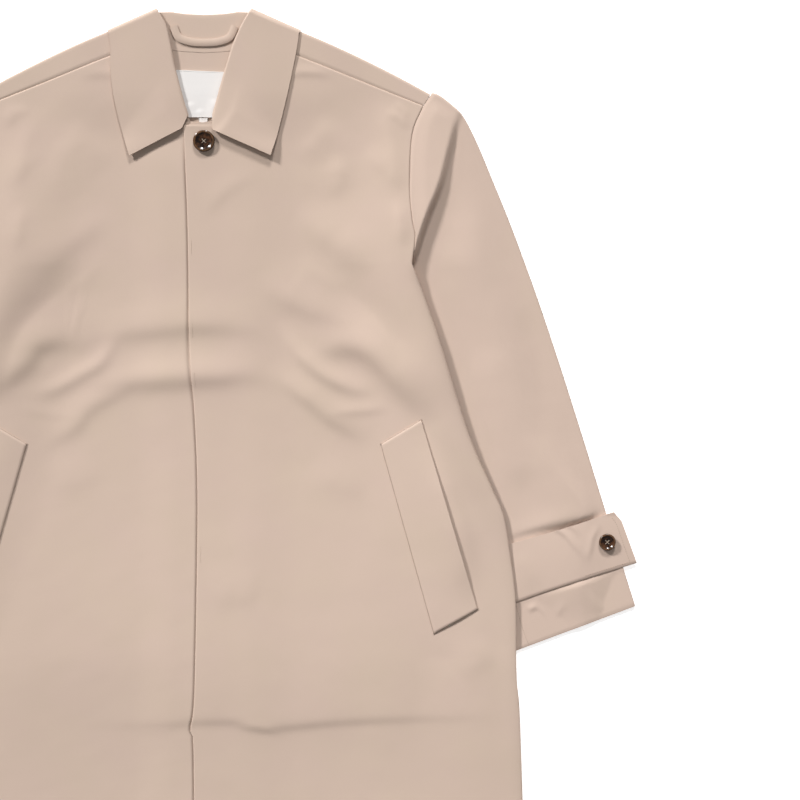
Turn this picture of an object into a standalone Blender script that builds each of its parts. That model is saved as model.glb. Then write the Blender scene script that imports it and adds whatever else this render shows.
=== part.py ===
"""A tent coat laid flat on its back, made of the pieces that a maker cuts and sews.

Metres, +Z up. Across runs from the coat's middle to its own left side (+X), and up runs from
the hem to the collar (+Y). The coat lies on the plane z = 0.
"""

import math
from collections import namedtuple

import bpy
import bmesh
import numpy as np
from mathutils import Vector
from mathutils.bvhtree import BVHTree

for leftover in list(bpy.data.objects):
    bpy.data.objects.remove(leftover, do_unlink=True)

# Cloth and the gaps between pieces
CLOTH = 0.0012
COLLAR_CLOTH = 0.0015
TRIM_CLOTH = 0.0015
LABEL_CLOTH = 0.0010
SEAM_GAP = 0.0004
LAY_GAP = 0.0004

# Main sizes of the coat, all measured up from the hem
COAT_LENGTH = 1.0082
NOTCH_UP = 0.7270
CUFF_UP = 0.2950
HEM_RISE = 0.0060
HEM_HALF_WIDTH = 0.3530
RECESS_UP = 0.6600

# How high the layers lie on each other
SLEEVE_HEIGHT = 0.0032
SLEEVE_LIFT = 0.0056
NECK_LIFT = 0.00225
LOWER_RISE = 0.0013
FOLD_RADIUS = 0.0020
COLLAR_TURN = 0.0021
SLEEVE_PUFF = 0.0050
LEAF_LOFT = 0.0022
LAP = CLOTH + LAY_GAP

# Where the layers rise and settle: the runs of their slopes and where those begin
LIFT_RUN = 0.085
LIFT_MARGIN = 0.012
LIFT_AT_NOTCH = 0.045
LIFT_AT_CUFF = 0.060
LIFT_PAST_CUFF = 0.090
LIFT_PAST_NOTCH = 0.008
NECK_LIFT_REACH = 0.190
NECK_LIFT_SIDE_RUN = 0.065
NECK_LIFT_FROM = 0.860
NECK_LIFT_RUN = 0.060
CHEST_RISE_FROM = 0.600
CHEST_RISE_RUN = 0.150
LAP_REACH = 0.105
LAP_RUN = 0.060
FOLDS_CLEAR_OF_FLY = 0.020
FOLDS_RUN = 0.050
FOLD_END_SHARE = 0.18
FOLD_END_HEIGHT = 0.12
HEM_RUN = 0.150

# The side edge turned down over the back's edge, as far up as the armhole
SIDE_LIP = 0.0012
SIDE_DROP = 0.0015
SIDE_LIP_TOP = 0.715
SIDE_LIP_RUN = 0.035
SIDE_LIP_WIDTH = 0.004

# Slopes of a sleeve's upper side beside the body, beside its own fold and at its cap
PUFF_FROM_BODY = 0.050
PUFF_FROM_OUTER = 0.040
CAP_RUN = 0.050
FOLDS_FROM_BODY = 0.006
ARMHOLE_BOW_SHARE = 0.4
BACK_CLEAR_OF_SLEEVE = 0.0030

# Outlines as (across, up), from the hem towards the collar
SIDE_EDGE = (
    (0.3530, 0.0000), (0.3465, 0.2145), (0.3421, 0.2783), (0.3410, 0.3575),
    (0.3344, 0.4136), (0.3278, 0.4510), (0.3146, 0.4818), (0.2893, 0.5412),
    (0.2574, 0.6435), (0.2387, 0.6974), (0.2286, NOTCH_UP),
)
ARMHOLE = (
    (0.2286, NOTCH_UP), (0.2321, 0.7557), (0.2288, 0.7755), (0.2260, 0.8129),
    (0.2288, 0.8690), (0.2409, 0.9009),
)
FLY_EDGE = (
    (-0.0100, 0.0000), (-0.0110, 0.1900), (-0.0143, 0.2145), (-0.0095, 0.2600),
    (-0.0066, 0.4565), (-0.0100, 0.5600), (-0.0154, 0.6325), (-0.0176, 0.7645),
    (-0.0220, 0.8790),
)
UNDER_EDGE = ((-0.0190, 0.0000), (-0.0190, 0.4500), (-0.0200, 0.8810))

# Outlines of the sleeve as (across, up), from the shoulder towards the cuff
SLEEVE_OUTER = (
    (0.2497, 0.9141), (0.2596, 0.9097), (0.2772, 0.8954), (0.2860, 0.8855),
    (0.2992, 0.8591), (0.3157, 0.8195), (0.3421, 0.7535), (0.3751, 0.6611),
    (0.4092, 0.5555), (0.4378, 0.4631), (0.4735, 0.3498),
)
SLEEVE_INNER = (
    (0.2292, 0.7262), (0.2320, 0.6900), (0.2380, 0.6400), (0.2430, 0.5900),
    (0.2540, 0.5300), (0.2720, 0.4500), (0.2970, 0.3700), (0.3270, CUFF_UP),
)

# The shoulder fold, from the neck to the sleeve, and the seam that lies forward of it
SHOULDER_NECK = (0.0860, 0.9882)
SHOULDER_END = (0.2476, 0.9119)
SHOULDER_BOW = 0.0034
SEAM_AT_NECK = (0.0775, 0.9660)

# Sections across the collar: its neck seam, its roll line and its outer edge
CollarRow = namedtuple("CollarRow", "neck roll edge")
COLLAR_FRONT = (
    CollarRow((0.0070, 0.8845), (0.0100, 0.8895), (0.0737, 0.8459)),
    CollarRow((0.0300, 0.8905), (0.0150, 0.9050), (0.0805, 0.8680)),
    CollarRow((0.0540, 0.9080), (0.0205, 0.9250), (0.0870, 0.8930)),
    CollarRow((0.0660, 0.9290), (0.0270, 0.9470), (0.0930, 0.9180)),
    CollarRow((0.0730, 0.9480), (0.0340, 0.9690), (0.0985, 0.9440)),
    CollarRow(SEAM_AT_NECK, (0.0430, 0.9890), (0.1025, 0.9650)),
    CollarRow(SHOULDER_NECK, (0.0515, 1.0037), (0.1045, 0.9802)),
)
COLLAR_BACK = (
    CollarRow((0.0640, 0.9730), (0.0380, 1.0040), (0.0960, 0.9580)),
    CollarRow((0.0350, 0.9630), (0.0200, 1.0015), (0.0560, 0.9430)),
    CollarRow((0.0000, 0.9600), (0.0000, 1.0005), (0.0000, 0.9385)),
)
COLLAR_NECK_ROWS = 6
LEAF_SHARES = (0.0, 0.30, 0.60, 0.85, 1.0)
LEAF_START_SHARE = 0.2
LEAF_EDGE_LOFT = 0.8
LEAF_ROLL_LOFT = 0.4
LEAF_SETTLES_OVER = 3
LEAF_CORNER = (0.0090, 0.8745)
RIGHT_LEAF_CORNER = (0.0240, 0.8760)
RIGHT_LEAF_SHIFT = (0.0080, 0.0080, 0.0080, 0.0070, 0.0040, 0.0000, 0.0000)

# Largest folds of a front: the path as (across, up), half of the width, and the height
Fold = namedtuple("Fold", "path half_width height")
FRONT_FOLDS = (
    Fold(((0.050, 0.640), (0.130, 0.610), (0.210, 0.570)), 0.070, 0.0030),
    Fold(((0.064, 0.690), (0.106, 0.644), (0.130, 0.613), (0.185, 0.595), (0.224, 0.558)), 0.014, 0.0030),
    Fold(((0.010, 0.619), (0.075, 0.612), (0.110, 0.584), (0.128, 0.571), (0.185, 0.579)), 0.014, 0.0028),
    Fold(((0.066, 0.699), (0.106, 0.679), (0.158, 0.657)), 0.014, -0.0020),
    Fold(((0.128, 0.626), (0.174, 0.630), (0.216, 0.586), (0.235, 0.560)), 0.013, -0.0022),
    Fold(((0.075, 0.606), (0.088, 0.586), (0.117, 0.560), (0.172, 0.514)), 0.015, -0.0020),
    Fold(((0.106, 0.765), (0.165, 0.723)), 0.020, -0.0014),
    Fold(((0.031, 0.220), (0.080, 0.212), (0.144, 0.218), (0.227, 0.223), (0.304, 0.226)), 0.012, 0.0016),
)

# Largest folds of a sleeve, in the same way
SLEEVE_FOLDS = (
    Fold(((0.277, 0.889), (0.272, 0.831), (0.263, 0.798), (0.255, 0.776), (0.240, 0.735)), 0.010, -0.0042),
    Fold(((0.290, 0.862), (0.284, 0.800), (0.276, 0.740)), 0.016, 0.0028),
    Fold(((0.330, 0.560), (0.392, 0.520)), 0.022, 0.0014),
)

# The welt's corners: upper inner, upper outer, lower inner, lower outer
WELT = ((0.1947, 0.5291), (0.2387, 0.5555), (0.2530, 0.3212), (0.3003, 0.3476))

# The cuff tab: corners at its hidden end, then at its free end
TAB = ((0.3200, 0.4150), (0.3266, 0.3490), (0.4510, 0.4543), (0.4763, 0.3982))
TAB_POINT = (0.4595, 0.4440)
TAB_SHARES = (0.0, 0.2, 0.5, 0.8, 1.0)
TAB_CLEAR_OF_EDGE = 0.008
TAB_DROOP = 0.0006
TAB_DROOP_RUN = 0.010

# Buttons: where they sit, and their radius
NECK_BUTTON = (0.0002, 0.8619)
NECK_BUTTON_RADIUS = 0.0120
CUFF_BUTTON = (0.4433, 0.4213)
CUFF_BUTTON_RADIUS = 0.0093
BUTTON_HEIGHT = 0.0040

# Things sewn inside the back neck: corners and a path
LABEL = ((-0.0330, 0.9410), (0.0253, 0.9385), (-0.0330, 0.8890), (0.0253, 0.8885))
SIZE_LABEL = ((-0.0055, 0.8878), (0.0035, 0.8878), (-0.0055, 0.8770), (0.0035, 0.8770))
HANG_LOOP = (
    (-0.034, 0.989), (-0.028, 0.977), (-0.015, 0.972), (0.000, 0.971),
    (0.015, 0.972), (0.028, 0.977), (0.034, 0.989),
)
HANG_LOOP_WIDTH = 0.008

# How finely the pieces are divided
RowBand = namedtuple("RowBand", "start end rows")
FRONT_ROWS = (
    RowBand(0.000, 0.190, 3), RowBand(0.190, 0.250, 4), RowBand(0.250, 0.510, 4),
    RowBand(0.510, NOTCH_UP, 9),
)
BACK_ROWS = (
    RowBand(0.000, 0.190, 2), RowBand(0.190, 0.280, 3), RowBand(0.280, 0.600, 4),
    RowBand(0.600, NOTCH_UP, 6),
)
FRONT_COLUMNS = 16
BACK_COLUMNS = 11
ARMHOLE_ROWS = 9
SLEEVE_RINGS = 15
WELT_ROWS = 12
WELT_COLUMNS = 4
TAB_COLUMNS = 13
LOOP_ROWS = 14
LABEL_CELLS = 4
SIZE_LABEL_CELLS = 2
TURN_STEPS = 4
BUTTON_STEPS = 20
HOLE_SIDES = 8
CURVE_STEPS = 16
FOLD_STEPS = 24
READING_STEPS = 200
RIM_READINGS = 24
OVER_ALL = 0.1

# Colours and finishes of the pieces
CLOTH_COLOUR = (0.640, 0.500, 0.402)
LABEL_COLOUR = (0.840, 0.820, 0.780)
BUTTON_COLOUR = (0.060, 0.026, 0.014)
CLOTH_ROUGHNESS = 0.85
BUTTON_ROUGHNESS = 0.22


# Working out curves and heights


def ease(share):
    """0 below 0, 1 above 1, and a soft S between."""
    share = np.clip(share, 0.0, 1.0)
    return share * share * (3.0 - 2.0 * share)


def along(marks, shares):
    """Points at these shares of the length of a smooth curve through the marks."""
    marks = np.array(marks, float)
    first = 2 * marks[0] - marks[1]
    last = 2 * marks[-1] - marks[-2]
    run = np.vstack([first, marks, last])
    t = np.linspace(0.0, 1.0, CURVE_STEPS + 1)[:-1, None]
    pieces = []
    for a, b, c, d in zip(run, run[1:], run[2:], run[3:]):
        bend = (2 * a - 5 * b + 4 * c - d) * t**2 + (3 * b - a - 3 * c + d) * t**3
        pieces.append(0.5 * (2 * b + (c - a) * t + bend))
    pieces.append(marks[-1:])
    line = np.vstack(pieces)
    steps = np.linalg.norm(np.diff(line, axis=0), axis=1)
    length = np.concatenate([[0.0], np.cumsum(steps)])
    wanted = np.asarray(shares) * length[-1]
    return np.stack([np.interp(wanted, length, column) for column in line.T], axis=-1)


def across_at(marks, up):
    """How far across a curve lies at this height above the hem."""
    line = along(marks, np.linspace(0.0, 1.0, READING_STEPS))
    order = np.argsort(line[:, 1])
    return np.interp(up, line[order, 1], line[order, 0])


def rows_of(bands):
    """Heights above the hem at which a panel has a row of points."""
    heights = [np.linspace(band.start, band.end, band.rows + 1)[:-1] for band in bands]
    return np.append(np.concatenate(heights), bands[-1].end)


def relief(folds, across, up):
    """Height that the folds add: soft ridges and troughs that fade at their ends."""
    total = np.zeros_like(across)
    for fold in folds:
        path = along(fold.path, np.linspace(0.0, 1.0, FOLD_STEPS))
        offset = np.stack([across, up], axis=-1)[..., None, :] - path
        distance = np.linalg.norm(offset, axis=-1)
        nearest = distance.argmin(axis=-1) / (len(path) - 1)
        fade = ease(np.minimum(nearest, 1.0 - nearest) / FOLD_END_SHARE + FOLD_END_HEIGHT)
        total += fold.height * fade * np.exp(-((distance.min(axis=-1) / fold.half_width) ** 2))
    return total


def sleeve_lift(across, up):
    """How far the body is raised where it lies on the sleeve's inner part."""
    hidden_from = across_at(SLEEVE_INNER, up)
    sideways = ease((across - hidden_from + LIFT_MARGIN + LIFT_RUN) / LIFT_RUN)
    below_notch = ease((NOTCH_UP + LIFT_PAST_NOTCH - up) / LIFT_AT_NOTCH)
    above_cuff = ease((up - CUFF_UP + LIFT_PAST_CUFF) / LIFT_AT_CUFF)
    return SLEEVE_LIFT * sideways * below_notch * above_cuff


def neck_lift(across, up):
    """How far the back is raised where it lies on the collar's fall."""
    sideways = ease((NECK_LIFT_REACH - np.abs(across)) / NECK_LIFT_SIDE_RUN)
    lengthways = ease((up - NECK_LIFT_FROM) / NECK_LIFT_RUN)
    return NECK_LIFT * sideways * lengthways


def back_level(across, up):
    """Middle of the back's wall."""
    return CLOTH / 2 + sleeve_lift(across, up) + neck_lift(across, up)


def front_level(across, up, over):
    """Middle of a front's wall before its folds. The front that lies over is raised at the fly."""
    upper_rise = 2 * FOLD_RADIUS - CLOTH - LAY_GAP
    chest = ease((up - CHEST_RISE_FROM) / CHEST_RISE_RUN)
    rise = LOWER_RISE * (1 - chest) + upper_rise * chest
    lap = LAP * ease((LAP_REACH - across) / LAP_RUN) if over else 0.0
    return back_level(across, up) + CLOTH + LAY_GAP + rise + lap


# Making meshes


def grid_faces(rows, columns, closed=False):
    """Four-sided faces of a grid of points, whose rows may close into rings."""
    faces = []
    for row in range(rows - 1):
        low, high = row * columns, (row + 1) * columns
        for here in range(columns if closed else columns - 1):
            after = (here + 1) % columns
            faces.append((low + here, low + after, high + after, high + here))
    return faces


def mirrored(points):
    """The same points on the coat's other side."""
    return points * np.array([-1.0, 1.0, 1.0])


def material_of(name, colour, roughness):
    """A plain material for one piece."""
    material = bpy.data.materials.new(name)
    material.use_nodes = True
    shader = material.node_tree.nodes["Principled BSDF"]
    shader.inputs["Base Color"].default_value = (*colour, 1.0)
    shader.inputs["Roughness"].default_value = roughness
    shader.inputs["Metallic"].default_value = 0.0
    return material


def add_object(name, points, faces, colour, roughness):
    """An object whose mesh lies in the coat's frame, with the origin under the coat's middle."""
    shift = np.array([0.0, COAT_LENGTH / 2, 0.0])
    mesh = bpy.data.meshes.new(name)
    mesh.from_pydata((points.reshape(-1, 3) - shift).tolist(), [], faces)
    shell = bmesh.new()
    shell.from_mesh(mesh)
    bmesh.ops.recalc_face_normals(shell, faces=shell.faces)
    shell.to_mesh(mesh)
    shell.free()
    mesh.shade_smooth()
    mesh.materials.append(material_of(name, colour, roughness))
    piece = bpy.data.objects.new(name, mesh)
    bpy.context.scene.collection.objects.link(piece)
    return piece


def add_wall(name, points, thickness, closed=False, inwards=False, colour=CLOTH_COLOUR):
    """A cloth wall on a grid of points, which are the wall's middle or its outer side."""
    faces = grid_faces(points.shape[0], points.shape[1], closed)
    piece = add_object(name, points, faces, colour, CLOTH_ROUGHNESS)
    wall = piece.modifiers.new("wall", "SOLIDIFY")
    wall.thickness = thickness
    wall.offset = -1.0 if inwards else 0.0
    wall.use_quality_normals = True
    return piece


def surface_of(points, closed=False):
    """A tree of a grid's faces that heights can be read from."""
    faces = grid_faces(points.shape[0], points.shape[1], closed)
    return BVHTree.FromPolygons(points.reshape(-1, 3).tolist(), faces)


def height_on(surface, across, up):
    """Height of a surface at one place, seen from above."""
    found = surface.ray_cast(Vector((across, up, OVER_ALL)), Vector((0.0, 0.0, -1.0)))
    return found[0].z


def quad_grid(corners, rows, columns):
    """A grid of places between four corners: upper two, then lower two."""
    upper_in, upper_out, lower_in, lower_out = (np.array(corner) for corner in corners)
    down = np.linspace(0.0, 1.0, rows + 1)[:, None, None]
    over = np.linspace(0.0, 1.0, columns + 1)[None, :, None]
    upper = upper_in * (1 - over) + upper_out * over
    lower = lower_in * (1 - over) + lower_out * over
    return upper * (1 - down) + lower * down


def laid_on(surface, places, lift):
    """Points over these places, raised by this much from the surface that they lie on."""
    heights = [[height_on(surface, *place) + lift for place in row] for row in places]
    return np.concatenate([places, np.array(heights)[..., None]], axis=-1)


# Lines that pieces share


def outward(line):
    """Unit vectors to the right of a line's direction, one for each of its points."""
    run = np.gradient(line, axis=0)
    run /= np.linalg.norm(run, axis=1, keepdims=True)
    return np.stack([run[:, 1], -run[:, 0]], axis=-1)


armhole = np.vstack([along(ARMHOLE, np.linspace(0.0, 1.0, ARMHOLE_ROWS + 1)), SLEEVE_OUTER[0]])
armhole_side = outward(armhole)
body_armhole = armhole - armhole_side * SEAM_GAP / 2
sleeve_armhole = armhole + armhole_side * SEAM_GAP / 2

shoulder_run = np.array(SHOULDER_END) - np.array(SHOULDER_NECK)
shoulder_run /= np.linalg.norm(shoulder_run)
shoulder_out = np.array([-shoulder_run[1], shoulder_run[0]])


def collar_rows(rows, shifts=None):
    """Neck, roll and edge lines of the collar, each as an array with a row for each section."""
    lines = [np.array([getattr(row, field) for row in rows]) for field in CollarRow._fields]
    if shifts is not None:
        for line in lines:
            line[:, 0] += shifts
    return lines


# Fronts


def front_points(fly_edge, over, neck):
    """Middle of a front's wall: rows from its fly edge and neck to its side and armhole."""
    low = rows_of(FRONT_ROWS)
    inner_low = np.stack([across_at(fly_edge, low), low], axis=-1)
    outer_low = np.stack([across_at(SIDE_EDGE, low), low], axis=-1)
    corner = np.array(fly_edge[-1])
    climb = np.linspace(NOTCH_UP, corner[1], 4)[1:-1]
    inner_high = np.stack([across_at(fly_edge, climb), climb], axis=-1)
    neck_line = (neck + outward(neck) * SEAM_GAP)[:COLLAR_NECK_ROWS]
    inner = np.vstack([inner_low, inner_high, corner, neck_line])
    outer = np.vstack([outer_low, body_armhole[1:ARMHOLE_ROWS + 1]])
    over_share = np.linspace(0.0, 1.0, FRONT_COLUMNS + 1)[None, :, None]
    places = inner[:, None] * (1 - over_share) + outer[:, None] * over_share
    across, up = places[..., 0], places[..., 1]
    folds = relief(FRONT_FOLDS, across, up)
    clear_of_fly = ease((across - FOLDS_CLEAR_OF_FLY) / FOLDS_RUN)
    folds = np.where((folds < 0) | (not over), folds * clear_of_fly, folds)
    height = front_level(across, up, over) + folds
    return np.stack([across, up, height], axis=-1)


def raise_hem(points):
    """The hem curves up a little towards the side seams."""
    near_hem = 1.0 - ease(points[..., 1] / HEM_RUN)
    points[..., 1] += HEM_RISE * (points[..., 0] / HEM_HALF_WIDTH) ** 2 * near_hem
    return points


def add_front(name, fly_edge, over, neck, flip):
    """One front, and the surface that its pocket and button lie on."""
    points = raise_hem(front_points(fly_edge, over, neck))
    shown = ease((SIDE_LIP_TOP - points[:, -1, 1]) / SIDE_LIP_RUN)
    points[:, -1, 0] += SIDE_LIP * shown
    points[:, -1, 2] -= SIDE_DROP * shown
    points[:, -2, 0] = np.where(shown > 0, points[:, -1, 0] - SIDE_LIP_WIDTH, points[:, -2, 0])
    points = mirrored(points) if flip else points
    add_wall(name, points, CLOTH)
    return surface_of(points)


neck_front, roll_front, edge_front = collar_rows(COLLAR_FRONT)
neck_right, roll_right, edge_right = collar_rows(COLLAR_FRONT, np.array(RIGHT_LEAF_SHIFT))
left_surface = add_front("front_left", FLY_EDGE, True, neck_front, False)
right_surface = add_front("front_right", UNDER_EDGE, False, neck_right, True)


# Back


def back_points():
    """Middle of half of the back's wall, carried over the shoulder fold to the forward seam."""
    low = rows_of(BACK_ROWS)
    side = across_at(SIDE_EDGE, low) - SEAM_GAP
    beside_sleeve = across_at(SLEEVE_INNER, low) - BACK_CLEAR_OF_SLEEVE
    side = np.where(low > RECESS_UP, np.minimum(side, beside_sleeve), side)
    neck_back = collar_rows(COLLAR_BACK)[0][::-1]
    neck_line = neck_back - np.array([0.0, SEAM_GAP])
    shoulder_start = np.array(SHOULDER_NECK) + shoulder_run * SEAM_GAP
    climb = np.linspace(NOTCH_UP, neck_line[0, 1], ARMHOLE_ROWS - 1)[1:-1]
    middle = np.concatenate([low, climb])
    inner = np.vstack([np.stack([0 * middle, middle], axis=-1), neck_line, shoulder_start])
    outer = np.vstack([np.stack([side, low], axis=-1), body_armhole[1:-1], SHOULDER_END])
    share = np.linspace(0.0, 1.0, BACK_COLUMNS + 1)[:, None]
    places = inner[:, None] * (1 - share) + outer[:, None] * share
    places[-1] += shoulder_out * SHOULDER_BOW * 4 * share * (1 - share)
    flat = np.dstack([places, back_level(places[..., 0], places[..., 1])])
    base = places[-1]
    base_level = flat[-1, :, 2]
    rows = [*flat]
    for step in range(1, TURN_STEPS + 1):
        turn = math.pi * step / TURN_STEPS
        place = base + shoulder_out * FOLD_RADIUS * math.sin(turn)
        height = base_level + FOLD_RADIUS * (1 - math.cos(turn))
        rows.append(np.column_stack([place, height]))
    seam_start = (neck_front + outward(neck_front) * SEAM_GAP)[COLLAR_NECK_ROWS - 1]
    seam = seam_start * (1 - share) + body_armhole[ARMHOLE_ROWS] * share
    seam += shoulder_out * SEAM_GAP
    height = back_level(seam[:, 0], seam[:, 1]) + 2 * FOLD_RADIUS
    rows.append(np.column_stack([seam, height]))
    return np.array(rows)


back_half = raise_hem(back_points())
back = add_wall("back_panel", back_half, CLOTH)
other_half = back.modifiers.new("other half", "MIRROR")
other_half.merge_threshold = 0.0001
back.modifiers.move(1, 0)


# Sleeves


def sleeve_top(across, up):
    """Height of a sleeve's upper side over the table."""
    side_edge = along(SIDE_EDGE, np.linspace(0.0, 1.0, READING_STEPS))
    body_edge = np.vstack([side_edge, armhole[1:]])
    from_body = across - np.interp(up, body_edge[:, 1], body_edge[:, 0])
    from_outer = across_at(SLEEVE_OUTER, up) - across
    cap = ease((up - NOTCH_UP - LIFT_PAST_NOTCH) / CAP_RUN)
    cap_rise = (2 * FOLD_RADIUS + CLOTH - SLEEVE_HEIGHT) * cap
    puff = SLEEVE_PUFF * ease(from_body / PUFF_FROM_BODY) * ease(from_outer / PUFF_FROM_OUTER)
    folds = relief(SLEEVE_FOLDS, across, up) * ease(from_body / FOLDS_FROM_BODY)
    return np.maximum(SLEEVE_HEIGHT + cap_rise + puff + folds, SLEEVE_HEIGHT)


def sleeve_points():
    """Outer side of a sleeve: rings from the armhole to the cuff, each round a flattened tube."""
    shares = np.linspace(0.0, 1.0, SLEEVE_RINGS + 1)
    outer = along(SLEEVE_OUTER, shares)
    inner = along(SLEEVE_INNER, shares)
    outer_side = -outward(outer)
    inner_side = outward(inner)
    outer[0], inner[0] = sleeve_armhole[-1], sleeve_armhole[0]
    steps = np.linalg.norm(np.diff(sleeve_armhole, axis=0), axis=1)
    over = (np.concatenate([[0.0], np.cumsum(steps)]) / steps.sum())[:, None]
    straight = inner[0] * (1 - over) + outer[0] * over
    bow = sleeve_armhole - straight
    turns = [math.pi * step / TURN_STEPS for step in range(1, TURN_STEPS)]
    rings = []
    for ring, share in enumerate(shares):
        fading = max(0.0, 1.0 - share / ARMHOLE_BOW_SHARE) ** 2
        places = inner[ring] * (1 - over) + outer[ring] * over + bow * fading
        top = sleeve_top(places[:, 0], places[:, 1])
        inner_radius, outer_radius = top[0] / 2, top[-1] / 2
        points = [(*place, height) for place, height in zip(places, top)]
        for turn in turns:
            place = places[-1] + outer_side[ring] * outer_radius * math.sin(turn)
            points.append((*place, outer_radius * (1 + math.cos(turn))))
        points += [(*place, 0.0) for place in places[::-1]]
        for turn in turns:
            place = places[0] + inner_side[ring] * inner_radius * math.sin(turn)
            points.append((*place, inner_radius * (1 - math.cos(turn))))
        rings.append(points)
    return np.array(rings)


sleeve = sleeve_points()
for side, points in (("left", sleeve), ("right", mirrored(sleeve))):
    add_wall(f"sleeve_{side}", points, CLOTH, closed=True, inwards=True)


# Collar


def collar_section(neck, roll, edge, corner, loft):
    """Places across one section of the collar, and how far each lies outside the stand."""
    neck, roll, edge = (np.array(place) for place in (neck, roll, edge))
    leaf_start = roll * (1 - LEAF_START_SHARE) + edge * LEAF_START_SHARE
    corner = leaf_start if corner is None else np.array(corner)
    inwards = (roll - neck) / np.linalg.norm(roll - neck) + (roll - edge) / np.linalg.norm(roll - edge)
    inwards /= np.linalg.norm(inwards)
    radius = COLLAR_TURN / 2
    section = [(neck * (1 - share) + roll * share, 0.0) for share in (0.0, 0.5, 1.0)]
    for step in range(1, TURN_STEPS):
        turn = math.pi * step / TURN_STEPS
        section.append((roll + inwards * radius * math.sin(turn), radius * (1 - math.cos(turn))))
    section.append((roll, COLLAR_TURN))
    for share in LEAF_SHARES:
        bulge = loft * (LEAF_ROLL_LOFT + math.sin(math.pi * share) + LEAF_EDGE_LOFT * share)
        section.append((corner * (1 - share) + edge * share, COLLAR_TURN + bulge))
    return section


def collar_half(neck, roll, edge, corner, over):
    """Middle of half of the collar's wall, from the leaf's front edge to the middle of the back."""
    rows = []
    for number in range(len(neck)):
        loft = LEAF_LOFT * ease((len(neck) - 1 - number) / LEAF_SETTLES_OVER)
        at = collar_section(neck[number], roll[number], edge[number], None if number else corner, loft)
        places = np.array([place for place, offset in at])
        offsets = np.array([offset for place, offset in at])
        height = front_level(places[:, 0], places[:, 1], over) + offsets
        rows.append(np.column_stack([places, height]))
    at = collar_section(*COLLAR_FRONT[-1], None, 0.0)
    level = back_level(*np.array(SHOULDER_NECK))
    for step in range(1, TURN_STEPS + 1):
        turn = math.pi * step / TURN_STEPS
        reach = np.array([FOLD_RADIUS + offset for place, offset in at])
        places = np.array([place for place, offset in at])
        places = places + shoulder_out * (reach * math.sin(turn))[:, None]
        rows.append(np.column_stack([places, level + FOLD_RADIUS + reach * math.cos(turn)]))
    for row in COLLAR_BACK:
        at = collar_section(*row, None, 0.0)
        rows.append(np.array([(*place, level - offset) for place, offset in at]))
    return np.array(rows)


left_half = collar_half(neck_front, roll_front, edge_front, LEAF_CORNER, True)
right_half = mirrored(collar_half(neck_right, roll_right, edge_right, RIGHT_LEAF_CORNER, False))
add_wall("collar", np.concatenate([left_half, right_half[-2::-1]]), COLLAR_CLOTH)


# Pocket welts, lying on the fronts

welt_lift = CLOTH / 2 + LAY_GAP + TRIM_CLOTH / 2
welt_places = quad_grid(WELT, WELT_ROWS, WELT_COLUMNS)
add_wall("welt_left", laid_on(left_surface, welt_places, welt_lift), TRIM_CLOTH)
add_wall("welt_right", laid_on(right_surface, welt_places * (-1, 1), welt_lift), TRIM_CLOTH)


# Cuff tabs, lying on the sleeves and reaching past their outer edge


def tab_points(surface):
    """Middle of a cuff tab's wall."""
    hidden_upper, hidden_lower, free_upper, free_lower = (np.array(corner) for corner in TAB)
    share = np.array(TAB_SHARES)[:, None]
    hidden_end = hidden_upper * (1 - share) + hidden_lower * share
    free_end = free_upper * (1 - share) + free_lower * share
    free_end[1] = TAB_POINT
    over = np.linspace(0.0, 1.0, TAB_COLUMNS + 1)[None, :, None]
    places = hidden_end[:, None] * (1 - over) + free_end[:, None] * over
    points = []
    for row in places:
        for across, up in row:
            limit = across_at(SLEEVE_OUTER, up) - TAB_CLEAR_OF_EDGE
            past = max(0.0, across - limit)
            height = height_on(surface, min(across, limit), up) + LAY_GAP + TRIM_CLOTH / 2
            points.append((across, up, height - TAB_DROOP * past / TAB_DROOP_RUN))
    return np.array(points).reshape(*places.shape[:2], 3)


tab = tab_points(surface_of(sleeve, closed=True))
tab_surface = surface_of(tab)
for side, points in (("left", tab), ("right", mirrored(tab))):
    add_wall(f"cuff_tab_{side}", points, TRIM_CLOTH)


# Hang loop and labels inside the back neck

loop_line = along(HANG_LOOP, np.linspace(0.0, 1.0, LOOP_ROWS + 1))
loop_side = outward(loop_line) * HANG_LOOP_WIDTH / 2
loop_places = np.stack([loop_line - loop_side, loop_line, loop_line + loop_side], axis=1)
loop_level = CLOTH / 2 + NECK_LIFT + COLLAR_CLOTH / 2 + LAY_GAP + CLOTH / 2
loop_points = np.dstack([loop_places, np.full(loop_places.shape[:2], loop_level)])
add_wall("hang_loop", loop_points, CLOTH)


def label_points(corners, cells):
    """Middle of a label's wall, lying on the inside of the back."""
    places = quad_grid(corners, cells, cells)
    lift = CLOTH / 2 + LAY_GAP + LABEL_CLOTH / 2
    heights = back_level(places[..., 0], places[..., 1]) + lift
    return np.dstack([places, heights])


add_wall("label_main", label_points(LABEL, LABEL_CELLS), LABEL_CLOTH, colour=LABEL_COLOUR)
add_wall("label_size", label_points(SIZE_LABEL, SIZE_LABEL_CELLS), LABEL_CLOTH, colour=LABEL_COLOUR)


# Buttons, turned with a raised rim and four holes

# Profile as shares of the radius and of the height, from the top's middle down the outside
BUTTON_PROFILE = (
    (0.00, 0.62), (0.48, 0.62), (0.66, 0.76), (0.80, 0.98),
    (0.90, 1.00), (0.98, 0.84), (1.00, 0.60), (0.86, 0.14), (0.70, 0.00), (0.00, 0.00),
)
BUTTON_HOLE_RADIUS = 0.0010
BUTTON_HOLE_OFFSET = 0.0018


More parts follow.
